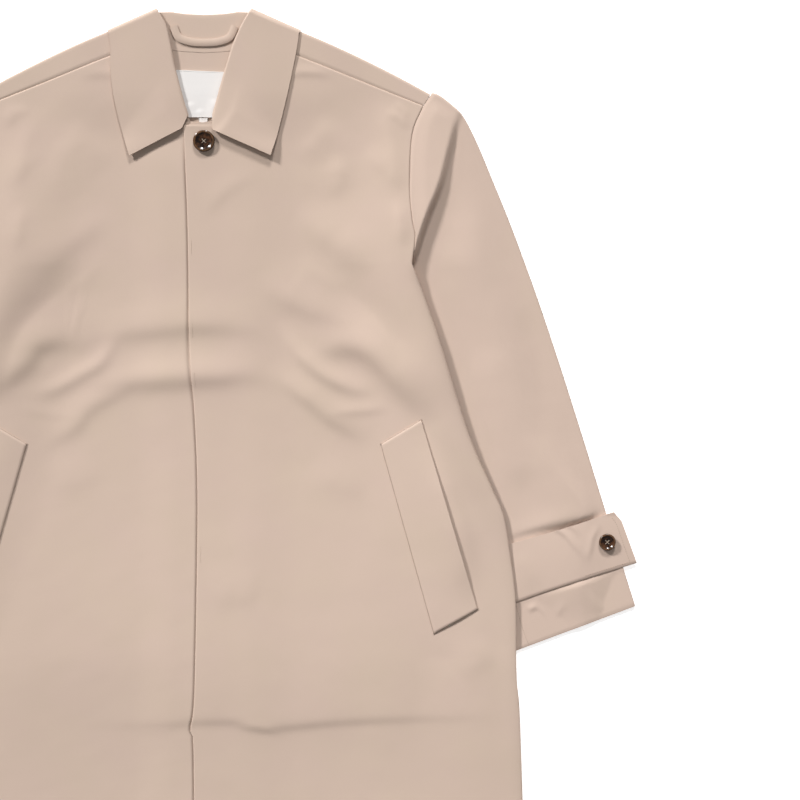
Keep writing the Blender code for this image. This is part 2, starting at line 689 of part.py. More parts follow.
def add_button(name, place, radius, seat):
    """One button, its underside just over the cloth that it is sewn to."""
    points = np.array([(r * radius, COAT_LENGTH / 2, z * BUTTON_HEIGHT) for r, z in BUTTON_PROFILE])
    piece = add_object(name, points, [], BUTTON_COLOUR, BUTTON_ROUGHNESS)
    profile = piece.data
    profile.edges.add(len(BUTTON_PROFILE) - 1)
    for number, edge in enumerate(profile.edges):
        edge.vertices = (number, number + 1)
    turned = piece.modifiers.new("turned", "SCREW")
    turned.steps = BUTTON_STEPS
    turned.render_steps = BUTTON_STEPS
    turned.use_merge_vertices = True
    turned.merge_threshold = 0.00001
    shell = bmesh.new()
    for number in range(4):
        angle = math.pi * (number / 2 + 0.25)
        drill = bmesh.ops.create_cone(
            shell, cap_ends=True, segments=HOLE_SIDES, depth=4 * BUTTON_HEIGHT,
            radius1=BUTTON_HOLE_RADIUS, radius2=BUTTON_HOLE_RADIUS,
        )
        aside = Vector((math.cos(angle), math.sin(angle), 0.0)) * BUTTON_HOLE_OFFSET * math.sqrt(2)
        bmesh.ops.translate(shell, verts=drill["verts"], vec=aside)
    cutter_mesh = bpy.data.meshes.new(f"{name}_holes")
    shell.to_mesh(cutter_mesh)
    shell.free()
    cutter = bpy.data.objects.new(f"{name}_holes", cutter_mesh)
    bpy.context.scene.collection.objects.link(cutter)
    cutter.parent = piece
    cutter.hide_render = True
    cutter.display_type = "WIRE"
    holes = piece.modifiers.new("holes", "BOOLEAN")
    holes.operation = "DIFFERENCE"
    holes.object = cutter
    piece.location = (place[0], place[1] - COAT_LENGTH / 2, seat)


def seat_on(surface, place, radius, lift):
    """The lowest height at which a flat button of this radius clears the cloth under it."""
    angles = np.linspace(0.0, 2 * math.pi, RIM_READINGS, endpoint=False)
    rim = [(place[0] + radius * math.cos(a), place[1] + radius * math.sin(a)) for a in angles]
    return max(height_on(surface, *spot) for spot in [place, *rim]) + lift


neck_seat = seat_on(left_surface, NECK_BUTTON, NECK_BUTTON_RADIUS, CLOTH / 2 + LAY_GAP)
cuff_seat = seat_on(tab_surface, CUFF_BUTTON, CUFF_BUTTON_RADIUS, TRIM_CLOTH / 2 + LAY_GAP)
add_button("button_neck", NECK_BUTTON, NECK_BUTTON_RADIUS, neck_seat)
add_button("button_cuff_left", CUFF_BUTTON, CUFF_BUTTON_RADIUS, cuff_seat)
add_button("button_cuff_right", (-CUFF_BUTTON[0], CUFF_BUTTON[1]), CUFF_BUTTON_RADIUS, cuff_seat)
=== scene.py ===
"""The looks of a tent coat that lies flat on its back: its cloth, sewing, labels and buttons.

Metres, +Z up. Across runs from the coat's middle to its own left side (+X), and up runs from the
hem to the collar, along +Y. Creases are given in millimetres.
"""

import math
from collections import namedtuple

import bmesh
import bpy
import numpy as np
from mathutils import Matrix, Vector
from mathutils.bvhtree import BVHTree


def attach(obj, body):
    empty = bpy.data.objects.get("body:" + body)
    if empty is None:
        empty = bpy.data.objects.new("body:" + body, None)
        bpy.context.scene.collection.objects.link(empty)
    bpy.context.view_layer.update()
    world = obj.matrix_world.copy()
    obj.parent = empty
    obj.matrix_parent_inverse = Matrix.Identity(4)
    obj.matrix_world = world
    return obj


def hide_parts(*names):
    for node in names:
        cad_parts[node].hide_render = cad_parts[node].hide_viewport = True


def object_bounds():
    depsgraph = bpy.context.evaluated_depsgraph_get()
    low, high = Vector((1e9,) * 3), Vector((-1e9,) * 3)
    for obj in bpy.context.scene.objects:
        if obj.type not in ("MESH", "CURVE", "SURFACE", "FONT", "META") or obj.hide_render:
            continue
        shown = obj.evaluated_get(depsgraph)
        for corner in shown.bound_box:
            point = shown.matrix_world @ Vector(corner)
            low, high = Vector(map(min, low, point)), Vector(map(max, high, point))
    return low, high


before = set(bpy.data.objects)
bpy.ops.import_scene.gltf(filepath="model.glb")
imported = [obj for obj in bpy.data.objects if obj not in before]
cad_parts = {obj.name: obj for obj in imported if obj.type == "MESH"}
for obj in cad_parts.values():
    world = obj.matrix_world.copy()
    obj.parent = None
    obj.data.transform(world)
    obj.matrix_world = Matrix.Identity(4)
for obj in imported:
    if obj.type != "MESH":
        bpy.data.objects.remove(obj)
cad_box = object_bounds()


# Back panel
# One width of smooth cotton twill from side seam to side seam, which lies flat on the table.
# It is carried over the shoulders, and sewn to the fronts forward of them and down the sides.

MM = 0.001
CLOTH = 0.0012
SEAM_GAP = 0.0004
LAY_GAP = 0.0004
HEM_Y = cad_box[0].y
NOTCH_UP = 0.7270
CUFF_UP = 0.2950
RECESS_UP = 0.6600
HEM_RISE = 0.0060
HEM_RUN = 0.150
HEM_HALF_WIDTH = 0.3530
FOLD_RADIUS = 0.0020
SLEEVE_LIFT = 0.0056
NECK_LIFT = 0.00225
LIFT_RUN = 0.085
LIFT_MARGIN = 0.012
LIFT_AT_NOTCH = 0.045
LIFT_AT_CUFF = 0.060
LIFT_PAST_CUFF = 0.090
LIFT_PAST_NOTCH = 0.008
NECK_LIFT_REACH = 0.190
NECK_LIFT_SIDE_RUN = 0.065
NECK_LIFT_FROM = 0.860
NECK_LIFT_RUN = 0.060
BACK_CLEAR_OF_SLEEVE = 0.0030

SIDE_EDGE = (
    (0.3530, 0.0000), (0.3465, 0.2145), (0.3421, 0.2783), (0.3410, 0.3575),
    (0.3344, 0.4136), (0.3278, 0.4510), (0.3146, 0.4818), (0.2893, 0.5412),
    (0.2574, 0.6435), (0.2387, 0.6974), (0.2286, NOTCH_UP),
)
ARMHOLE = (
    (0.2286, NOTCH_UP), (0.2321, 0.7557), (0.2288, 0.7755), (0.2260, 0.8129),
    (0.2288, 0.8690), (0.2409, 0.9009),
)
SLEEVE_OUTER = (
    (0.2497, 0.9141), (0.2596, 0.9097), (0.2772, 0.8954), (0.2860, 0.8855),
    (0.2992, 0.8591), (0.3157, 0.8195), (0.3421, 0.7535), (0.3751, 0.6611),
    (0.4092, 0.5555), (0.4378, 0.4631), (0.4735, 0.3498),
)
SLEEVE_INNER = (
    (0.2292, 0.7262), (0.2320, 0.6900), (0.2380, 0.6400), (0.2430, 0.5900),
    (0.2540, 0.5300), (0.2720, 0.4500), (0.2970, 0.3700), (0.3270, CUFF_UP),
)
SHOULDER_NECK = (0.0860, 0.9882)
SHOULDER_END = (0.2476, 0.9119)
SHOULDER_BOW = 0.0034
BACK_NECK = ((0.0000, 0.9600), (0.0350, 0.9630), (0.0640, 0.9730))
FORWARD_SEAM_START = (0.0781, 0.9657)

BACK_ROWS_LOW = 170
BACK_ROWS_HIGH = 52
BACK_CLIMB_SHARE = 9 / 13
BACK_COLUMNS = 64
SHOULDER_TURN_STEPS = 8
YOKE_ROWS = 10
BOW_ROWS = 6
CURVE_STEPS = 16
READING_STEPS = 399
SEAM_DIP = 0.0009
SEAM_DIP_RUN = 0.0014
HEM_ROLL = 0.0030
HEM_DROP = 0.0004


def ease(share):
    """0 below 0, 1 above 1, and a soft S between."""
    share = np.clip(share, 0.0, 1.0)
    return share * share * (3.0 - 2.0 * share)


def even(steps):
    """Shares from 0 to 1 in this many even steps."""
    return np.linspace(0.0, 1.0, steps + 1)


def between(first, second, share):
    """What lies at this share of the way from one to the other."""
    return first * (1 - share) + second * share


def unit(run):
    """The same directions with the length 1."""
    return run / np.linalg.norm(run, axis=-1, keepdims=True)


def spline(marks, steps):
    """A smooth curve through the marks, with this many steps from each mark to the next."""
    marks = np.array(marks, float)
    run = np.vstack([2 * marks[0] - marks[1], marks, 2 * marks[-1] - marks[-2]])
    t = np.linspace(0.0, 1.0, steps, endpoint=False)[:, None]
    pieces = []
    for a, b, c, d in zip(run, run[1:], run[2:], run[3:]):
        bend = (2 * a - 5 * b + 4 * c - d) * t**2 + (3 * b - a - 3 * c + d) * t**3
        pieces.append(0.5 * (2 * b + (c - a) * t + bend))
    return np.vstack([*pieces, marks[-1:]])


def run_along(points, axis):
    """Length run from the start of a line, or from one edge of a grid, along this axis."""
    steps = np.diff(points, axis=axis, prepend=points.take([0], axis=axis))
    return np.cumsum(np.linalg.norm(steps, axis=-1), axis=axis)


def along(marks, shares):
    """Points at these shares of the length of a smooth curve through the marks."""
    line = spline(marks, CURVE_STEPS)
    length = run_along(line, 0)
    wanted = np.asarray(shares) * length[-1]
    return np.stack([np.interp(wanted, length, column) for column in line.T], axis=-1)


def read_across(line, up):
    """How far across a line of points lies at this height above the hem."""
    order = np.argsort(line[:, 1])
    return np.interp(up, line[order, 1], line[order, 0])


def across_at(marks, up):
    """How far across a curve lies at this height above the hem."""
    return read_across(along(marks, even(READING_STEPS)), up)


def outward(line):
    """Unit vectors to the right of a line's direction, one for each of its points."""
    run = unit(np.gradient(line, axis=0))
    return np.stack([run[:, 1], -run[:, 0]], axis=-1)


def on_sleeve(across, up):
    """0 at the middle of the body, and 1 where it lies on the sleeve's inner part."""
    hidden_from = across_at(SLEEVE_INNER, up)
    return ease((np.abs(across) - hidden_from + LIFT_MARGIN + LIFT_RUN) / LIFT_RUN)


def sleeve_lift(across, up):
    """How far the back is raised where it lies on the sleeve's inner part."""
    below_notch = ease((NOTCH_UP + LIFT_PAST_NOTCH - up) / LIFT_AT_NOTCH)
    above_cuff = ease((up - CUFF_UP + LIFT_PAST_CUFF) / LIFT_AT_CUFF)
    return SLEEVE_LIFT * on_sleeve(across, up) * below_notch * above_cuff


def neck_lift(across, up):
    """How far the back is raised where it lies on the collar's fall."""
    sideways = ease((NECK_LIFT_REACH - np.abs(across)) / NECK_LIFT_SIDE_RUN)
    lengthways = ease((up - NECK_LIFT_FROM) / NECK_LIFT_RUN)
    return NECK_LIFT * sideways * lengthways


def back_level(across, up):
    """Middle of the back's wall."""
    return CLOTH / 2 + sleeve_lift(across, up) + neck_lift(across, up)


def raise_hem(points):
    """The hem curves up a little towards the side seams."""
    near_hem = 1.0 - ease(points[..., 1] / HEM_RUN)
    points[..., 1] += HEM_RISE * (points[..., 0] / HEM_HALF_WIDTH) ** 2 * near_hem
    return points


def rolled_down(distance, width, drop):
    """How far an edge has rolled down at this distance from it, as the quarter of a circle."""
    share = 1.0 - np.clip(distance / width, 0.0, 1.0)
    return drop * (1.0 - np.sqrt(1.0 - share**2))


# A crease is a ridge along a path or, with a height below 0, a trough. It has one half width to the
# left of its path and one to the right, which may change from start to end. Crisp is 2 for a soft crest.
Crease = namedtuple("Crease", "path height left right crisp")
# A fall is a ridge with one steep side: the cloth falls over a band to the right of its path, and
# comes down again slowly on the left, over the back.
Fall = namedtuple("Fall", "path slope band back")
CREASE_STEPS = 79
CREASE_END_SHARE = 0.22
FALL_END_SHARE = 0.42


def beside(path, across, up):
    """How far places lie to the left of a path, and their shares of its length."""
    places = np.stack([across, up], axis=-1)
    path = along(np.array(path) * MM, even(CREASE_STEPS))
    length = np.linalg.norm(path[1] - path[0]) * CREASE_STEPS
    run = unit(np.gradient(path, axis=0))
    nearest = ((places[..., None, :] - path) ** 2).sum(axis=-1).argmin(axis=-1)
    offset = places - path[nearest]
    ahead = (offset * run[nearest]).sum(axis=-1)
    aside = run[nearest][..., 0] * offset[..., 1] - run[nearest][..., 1] * offset[..., 0]
    share = nearest / CREASE_STEPS + ahead / length
    beyond = np.maximum(-share, share - 1.0).clip(0.0) * length
    return np.copysign(np.hypot(aside, beyond), aside), share


def width_along(width, share):
    """A half width that may change evenly from a path's start to its end."""
    return np.interp(share, (0.0, 1.0), np.broadcast_to(width, 2)) * MM


def relief(creases, across, up):
    """Height that creases and falls add, which fades at their ends."""
    total = np.zeros_like(across)
    for crease in creases:
        aside, share = beside(crease.path, across, up)
        end_share = FALL_END_SHARE if isinstance(crease, Fall) else CREASE_END_SHARE
        fade = ease(np.minimum(share, 1.0 - share) / end_share)
        if isinstance(crease, Fall):
            band = crease.band * MM
            crest = np.exp(-(np.maximum(aside, 0.0) / (crease.back * MM)) ** 2)
            total += fade * crease.slope * band * (1 + np.tanh(aside / band)) * crest
        else:
            left, right = width_along(crease.left, share), width_along(crease.right, share)
            reach = np.abs(aside / np.where(aside > 0, left, right))
            total += fade * crease.height * MM * np.exp(-reach**crease.crisp)
    return total


def not_below(height, least, softness):
    """Heights kept over a least one, with a soft bend where they meet it."""
    over = height - least
    return least + (over + np.sqrt(over**2 + softness**2)) / 2


RIPPLE_WAVES = 26
RIPPLE_LONGEST = 0.170
RIPPLE_SHORTEST = 0.016


def ripple(across, up, height, seed):
    """The slight unevenness that handling leaves in cloth, as a sum of soft waves."""
    chance = np.random.default_rng(seed)
    total = np.zeros_like(across)
    for number in range(RIPPLE_WAVES):
        length = RIPPLE_LONGEST * (RIPPLE_SHORTEST / RIPPLE_LONGEST) ** (number / (RIPPLE_WAVES - 1))
        angle, start = chance.uniform(0.0, 2 * math.pi, 2)
        wave = across * math.cos(angle) + up * math.sin(angle)
        total += length / RIPPLE_LONGEST * np.sin(2 * math.pi * wave / length + start)
    return height * total / math.sqrt(RIPPLE_WAVES)


class Value:
    """A socket of a node in a tree. Plain sums on it add Math nodes."""

    def __init__(self, tree, socket):
        self.tree = tree
        self.socket = socket

    @staticmethod
    def node(tree, kind, settings, sockets, output=0):
        """A node of this type: its settings are set first, then its sockets get values or links."""
        made = tree.nodes.new(kind)
        for name, setting in settings.items():
            setattr(made, name, setting)
        feed(made, sockets)
        return Value(tree, made.outputs[output])

    def maths(self, operation, first, second):
        return Value.node(self.tree, "ShaderNodeMath", {"operation": operation}, {0: first, 1: second})

    def __add__(self, other):
        return self.maths("ADD", self, other)

    def __rsub__(self, other):
        return self.maths("SUBTRACT", other, self)

    def __mul__(self, other):
        return self.maths("MULTIPLY", self, other)

    __radd__ = __add__
    __rmul__ = __mul__


def feed(node, sockets):
    """Gives a node's sockets their values, or links to what varies."""
    for name, value in sockets.items():
        if isinstance(value, Value):
            value.tree.links.new(value.socket, node.inputs[name])
        else:
            node.inputs[name].default_value = value


def blended(first, second, share):
    """A colour between two others."""
    sockets = {0: share, 6: first, 7: second}
    return Value.node(share.tree, "ShaderNodeMix", {"data_type": "RGBA"}, sockets, output=2)


def new_finish(name):
    """A new material, its tree of nodes and its main shader."""
    material = bpy.data.materials.new(name)
    material.use_nodes = True
    return material, material.node_tree, material.node_tree.nodes["Principled BSDF"]


CUT_MAP = "cut"
BEIGE = (0.585, 0.460, 0.365, 1.0)
PINK_BEIGE = (0.590, 0.452, 0.376, 1.0)
YARN_SHADE = (0.500, 0.385, 0.300, 1.0)
TINT_PATCHES = {"Scale": 13.0, "Detail": 3.0}
YARNS = 1500.0
YARN_STRETCH = 25
YARN_NOISE = {"Scale": 1.0, "Detail": 2.0}
TWILL = {"Scale": 760.0, "Distortion": 0.6, "Detail": 1.0}
TWILL_PART = 0.5
YARN_SHARE = 0.22
CLOTH_ROUGH = 0.80
YARN_ROUGH = 0.10
CLOTH_BUMP = {"Strength": 0.35, "Distance": 0.00012}
CLOTH_GLOSS = {"Specular IOR Level": 0.25, "Sheen Weight": 0.10, "Sheen Roughness": 0.5}


def cloth_finish(name, pink):
    """Matte cotton twill: fine diagonal lines, uneven yarns and a faint change of tint."""
    material, tree, shader = new_finish(name)
    cut = Value.node(tree, "ShaderNodeUVMap", {"uv_map": CUT_MAP}, {})
    yarn_scale = (YARNS, YARNS / YARN_STRETCH, 1.0)
    stretched = Value.node(tree, "ShaderNodeMapping", {}, {"Vector": cut, "Scale": yarn_scale})
    warp = Value.node(tree, "ShaderNodeTexNoise", {}, {"Vector": stretched, **YARN_NOISE})
    twill = Value.node(tree, "ShaderNodeTexWave", {"bands_direction": "DIAGONAL"}, {"Vector": cut, **TWILL})
    twill_depth = Value.node(tree, "ShaderNodeSeparateColor", {}, {"Color": twill})
    patches = Value.node(tree, "ShaderNodeTexNoise", {}, {"Vector": cut, **TINT_PATCHES})
    tint = blended(BEIGE, PINK_BEIGE, patches * (2 * (1 - abs(pink - 0.5))) + (pink - 0.5))
    yarn = twill_depth * TWILL_PART + warp * (1 - TWILL_PART)
    colour = blended(tint, YARN_SHADE, (1.0 - yarn) * YARN_SHARE)
    rough = CLOTH_ROUGH + yarn * YARN_ROUGH
    bump = Value.node(tree, "ShaderNodeBump", {}, {"Height": yarn, **CLOTH_BUMP})
    feed(shader, {"Base Color": colour, "Roughness": rough, "Normal": bump, **CLOTH_GLOSS})
    return material


def add_object(name, data):
    """A new object in the scene."""
    made = bpy.data.objects.new(name, data)
    bpy.context.scene.collection.objects.link(made)
    return made


def made_plain(piece):
    """Turns what the modifiers make into the piece's own mesh, takes them off and shades it smooth."""
    graph = bpy.context.evaluated_depsgraph_get()
    made = bpy.data.meshes.new_from_object(piece.evaluated_get(graph), depsgraph=graph)
    piece.modifiers.clear()
    piece.data = made
    piece.data.shade_smooth()


SHARP_ANGLE = math.radians(50)
WELD_REACH = 0.00001


def weld(mesh):
    """Makes one point of each two that lie in the same place."""
    joined = bmesh.new()
    joined.from_mesh(mesh)
    bmesh.ops.remove_doubles(joined, verts=joined.verts, dist=WELD_REACH)
    joined.to_mesh(mesh)
    joined.free()


def in_scene(points):
    """Points that are measured from the hem, where the scene has them."""
    return (points + np.array([0.0, HEM_Y, 0.0])).tolist()


def grid_corners(points, closed):
    """Row and column of each corner of a grid's faces. Its rows may close into rings."""
    rows, columns = points.shape[:2]
    row, column = np.mgrid[0:rows - 1, 0:columns if closed else columns - 1]
    at_row = np.stack([row, row, row + 1, row + 1], axis=-1).reshape(-1, 4)
    at_column = np.stack([column, column + 1, column + 1, column], axis=-1).reshape(-1, 4)
    return at_row, at_column


def add_shell(name, points, thickness, material, cut=None, closed=False, inwards=False, parted=None):
    """A thin wall on a grid of points, with a map of its flat cut.

    At a parted column the two halves join only where they touch.
    """
    cut = points[..., :2] if cut is None else cut
    columns = points.shape[1]
    at_row, at_column = grid_corners(points, closed)
    faces = at_row * columns + at_column % columns
    flat_points = points.reshape(-1, 3)
    corners = flat_points[faces]
    facing = np.cross(corners[:, 2] - corners[:, 0], corners[:, 3] - corners[:, 1])
    middle = flat_points.mean(axis=0)
    outside = corners.mean(axis=1) - middle if closed else np.array([0.0, 0.0, 1.0])
    if (facing * outside).sum() < 0:
        faces, at_row, at_column = faces[:, ::-1], at_row[:, ::-1], at_column[:, ::-1]
    if parted is not None:
        kept = at_column.min(axis=1) != parted
        faces, at_row, at_column = faces[kept], at_row[kept], at_column[kept]
    mesh = bpy.data.meshes.new(name)
    mesh.from_pydata(in_scene(flat_points), [], faces.tolist())
    mesh.uv_layers.new(name=CUT_MAP).data.foreach_set("uv", cut[at_row, at_column].ravel())
    mesh.materials.append(material)
    if parted is not None:
        weld(mesh)
    piece = add_object(name, mesh)
    wall = piece.modifiers.new("wall", "SOLIDIFY")
    wall.thickness = thickness
    wall.offset = -1.0 if inwards else 0.0
    wall.use_quality_normals = True
    made_plain(piece)
    piece.data.set_sharp_from_angle(angle=SHARP_ANGLE)
    return piece


def cloth_area(points, closed=False, parted=None):
    """Area of the cloth that a grid of points stands for."""
    grid = np.concatenate([points, points[:, :1]], axis=1) if closed else points
    one = np.cross(grid[1:, 1:] - grid[:-1, :-1], grid[1:, :-1] - grid[:-1, 1:])
    one = one if parted is None else np.delete(one, parted, axis=1)
    return float(np.linalg.norm(one, axis=-1).sum() / 2)


def declare(piece, node, points, closed=False, parted=None):
    """Hides a cloth piece's solid, puts the piece under the root body, and works out its cloth area, which
    nothing uses.
    """
    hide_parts(node)
    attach(piece, "root")
    area = cloth_area(points, closed, parted)


shoulder_run = unit(np.array(SHOULDER_END) - np.array(SHOULDER_NECK))
shoulder_out = np.array([-shoulder_run[1], shoulder_run[0]])


def back_half():
    """Middle of half of the back's wall, carried over the shoulder fold to the forward seam."""
    low = np.linspace(0.0, NOTCH_UP, BACK_ROWS_LOW + 1)
    side = across_at(SIDE_EDGE, low) - SEAM_GAP
    beside_sleeve = across_at(SLEEVE_INNER, low) - BACK_CLEAR_OF_SLEEVE
    side = np.where(low > RECESS_UP, np.minimum(side, beside_sleeve), side)
    shares = even(BACK_ROWS_HIGH)[1:]
    climb = np.minimum(shares / BACK_CLIMB_SHARE, 1.0)[:, None]
    neck_marks = np.vstack([BACK_NECK, np.array(SHOULDER_NECK) + shoulder_run * SEAM_GAP])
    neck_marks[:-1, 1] -= SEAM_GAP
    round_neck = along(neck_marks, np.clip((shares - BACK_CLIMB_SHARE) / (1 - BACK_CLIMB_SHARE), 0, 1))
    foot = np.array([0.0, NOTCH_UP])
    inner_high = np.where(climb < 1.0, between(foot, neck_marks[0], climb), round_neck)
    armhole = along([*ARMHOLE, SHOULDER_END], shares)
    armhole[:-1] -= outward(armhole)[:-1] * SEAM_GAP / 2
    inner = np.vstack([np.stack([0 * low, low], axis=-1), inner_high])
    outer = np.vstack([np.stack([side, low], axis=-1), armhole])
    share = even(BACK_COLUMNS)[:, None]
    places = between(inner[:, None], outer[:, None], share)
    bow = np.zeros(len(places))
    bow[-BOW_ROWS:] = even(BOW_ROWS - 1)
    places += bow[:, None, None] * shoulder_out * SHOULDER_BOW * 4 * share * (1 - share)
    rows = [*np.dstack([places, back_level(places[..., 0], places[..., 1])])]
    base, base_level = places[-1], rows[-1][:, 2]
    for step in range(1, SHOULDER_TURN_STEPS + 1):
        turn = math.pi * step / SHOULDER_TURN_STEPS
        place = base + shoulder_out * FOLD_RADIUS * math.sin(turn)
        rows.append(np.column_stack([place, base_level + FOLD_RADIUS * (1 - math.cos(turn))]))
    seam = between(np.array(FORWARD_SEAM_START), np.array(ARMHOLE[-1]), share)
    seam += shoulder_out * SEAM_GAP - shoulder_run * SEAM_GAP / 2 * share
    seam_level = back_level(seam[:, 0], seam[:, 1]) + 2 * FOLD_RADIUS
    top = rows[-1]
    yoke = np.linalg.norm(seam - top[:, :2], axis=1)
    for down in even(YOKE_ROWS)[1:]:
        row = between(top, np.column_stack([seam, seam_level]), down)
        row[:, 2] -= rolled_down((1 - down) * yoke, SEAM_DIP_RUN, SEAM_DIP)
        rows.append(row)
    return np.array(rows)


BACK_CREASES = (
    Crease(((-260, 300), (-120, 322), (40, 310), (190, 330)), 0.45, 16, 22, 1.6),
    Crease(((-200, 560), (-90, 530), (10, 545)), 0.40, 18, 14, 1.7),
    Crease(((60, 590), (140, 560), (215, 520)), 0.45, 13, 20, 1.6),
    Crease(((-150, 760), (-60, 742), (70, 752), (150, 735)), 0.35, 20, 16, 1.8),
    Crease(((-300, 215), (-120, 221), (60, 214), (300, 226)), 0.50, 9, 14, 1.4),
)

left_back = back_half()
right_back = left_back * (-1, 1, 1)
back_points = np.concatenate([right_back[:, ::-1], left_back], axis=1)
lying = np.arange(len(back_points)) < BACK_ROWS_LOW
back_points[lying, :, 2] += relief(BACK_CREASES, back_points[lying, :, 0], back_points[lying, :, 1])
back_points = raise_hem(back_points)
back_cut = np.stack([back_points[..., 0], run_along(back_points, 0)], axis=-1)
body_cloth = cloth_finish("body_cloth", pink=0.35)
back_panel = add_shell("back_panel_cloth", back_points, CLOTH, body_cloth, back_cut, parted=BACK_COLUMNS)
declare(back_panel, "back_panel", back_points,
        parted=BACK_COLUMNS)


def surface_of(points, closed=False):
    """A tree of a grid's faces that heights can be read from."""
    columns = points.shape[1]
    at_row, at_column = grid_corners(points, closed)
    faces = at_row * columns + at_column % columns
    return BVHTree.FromPolygons(points.reshape(-1, 3).tolist(), faces.tolist())


OVER_ALL = 0.1


def height_on(surface, across, up):
    """Height of a surface at one place, seen from above."""
    found = surface.ray_cast(Vector((across, up, OVER_ALL)), Vector((0.0, 0.0, -1.0)))
    return found[0].z if found[0] else 0.0


def laid_on(surface, places, lift):
    """Points over these places, raised by this much from the surface that they lie on."""
    heights = [height_on(surface, *place) for place in places.reshape(-1, 2)]
    return np.dstack([places, np.array(heights).reshape(places.shape[:2]) + lift])


# Hang loop and labels
# A narrow band of the coat's own cloth and two white woven labels, sewn inside the back neck.
# The labels are blank, and the larger one has gone into soft folds at its lower end.

NECK_LEVEL = CLOTH / 2 + NECK_LIFT
HANG_LOOP = (
    (-0.034, 0.989), (-0.028, 0.977), (-0.015, 0.972), (0.000, 0.971),
    (0.015, 0.972), (0.028, 0.977), (0.034, 0.989),
)
HANG_LOOP_WIDTH = 0.008
HANG_LOOP_LENGTH = 0.088
COLLAR_CLOTH = 0.0015
LOOP_ROWS = 90
LOOP_COLUMNS = 10
LOOP_ARCH = 0.0007

loop_line = along(HANG_LOOP, even(LOOP_ROWS))
loop_over = np.linspace(-0.5, 0.5, LOOP_COLUMNS + 1)
loop_places = loop_line[:, None] + outward(loop_line)[:, None] * (loop_over * HANG_LOOP_WIDTH)[:, None]
loop_level = NECK_LEVEL + COLLAR_CLOTH / 2 + LAY_GAP + CLOTH / 2
loop_height = loop_level + LOOP_ARCH * (1 - (2 * loop_over) ** 2) + 0 * loop_places[..., 0]
loop_points = np.dstack([loop_places, loop_height])
loop_cut = np.stack(np.broadcast_arrays(
    (loop_over * HANG_LOOP_WIDTH)[None, :],
    np.linspace(0.0, HANG_LOOP_LENGTH, LOOP_ROWS + 1)[:, None],
), axis=-1)
hang_loop = add_shell("hang_loop_cloth", loop_points, CLOTH, body_cloth, loop_cut)
declare(hang_loop, "hang_loop", loop_points)

LABEL = ((-0.0330, 0.9410), (0.0253, 0.9385), (-0.0330, 0.8890), (0.0253, 0.8885))
SIZE_LABEL = ((-0.0055, 0.8878), (0.0035, 0.8878), (-0.0055, 0.8770), (0.0035, 0.8770))
LABEL_CLOTH = 0.0010
LABEL_WHITE = (0.815, 0.785, 0.765, 1.0)
LABEL_SHADE = (0.690, 0.660, 0.635, 1.0)
LABEL_RIBS = {"Scale": 240.0, "Distortion": 0.4}
LABEL_SHADE_SHARE = 0.15
LABEL_ROUGH = 0.45
RIB_ROUGH = 0.1
LABEL_BUMP = {"Strength": 0.3, "Distance": 0.0001}
LABEL_ROW = 1
LABEL_CREASES = (
    Crease(((-15, 880), (-16, 892), (-19, 906)), 0.7, 4.0, 6.5, 2.0),
    Crease(((-5, 878), (-4, 888), (-7, 898)), 0.5, 3.6, 5.0, 2.0),
    Crease(((10, 880), (9, 893), (13, 909)), 0.6, 5.5, 4.0, 2.0),
)


def quad_grid(corners, rows, columns):
    """A grid of places between four corners: upper two, then lower two."""
    upper_in, upper_out, lower_in, lower_out = (np.array(corner) for corner in corners)
    down = even(rows)[:, None, None]
    over = even(columns)[None, :, None]
    return between(between(upper_in, upper_out, over), between(lower_in, lower_out, over), down)


def label_finish():
    """White satin ribbon with fine ribs across it."""
    material, tree, shader = new_finish("label_ribbon")
    cut = Value.node(tree, "ShaderNodeUVMap", {"uv_map": CUT_MAP}, {})
    ribs = Value.node(tree, "ShaderNodeTexWave", {"bands_direction": "Y"}, {"Vector": cut, **LABEL_RIBS})
    depth = Value.node(tree, "ShaderNodeSeparateColor", {}, {"Color": ribs})
    colour = blended(LABEL_WHITE, LABEL_SHADE, (1.0 - depth) * LABEL_SHADE_SHARE)
    bump = Value.node(tree, "ShaderNodeBump", {}, {"Height": depth, **LABEL_BUMP})
    feed(shader, {"Base Color": colour, "Roughness": LABEL_ROUGH + depth * RIB_ROUGH, "Normal": bump})
    return material


STITCH_INPUTS = {
    "Lines": "Geometry", "Pitch": "Float", "Length": "Float", "Thickness": "Float",
    "Wander": "Float", "Seed": "Int", "Thread": "Material",
}
STITCH_BEAD = {"Segments": 6, "Rings": 4, "Radius": 0.5}
STITCH_SWAY = (1.0, 1.0, 0.3)


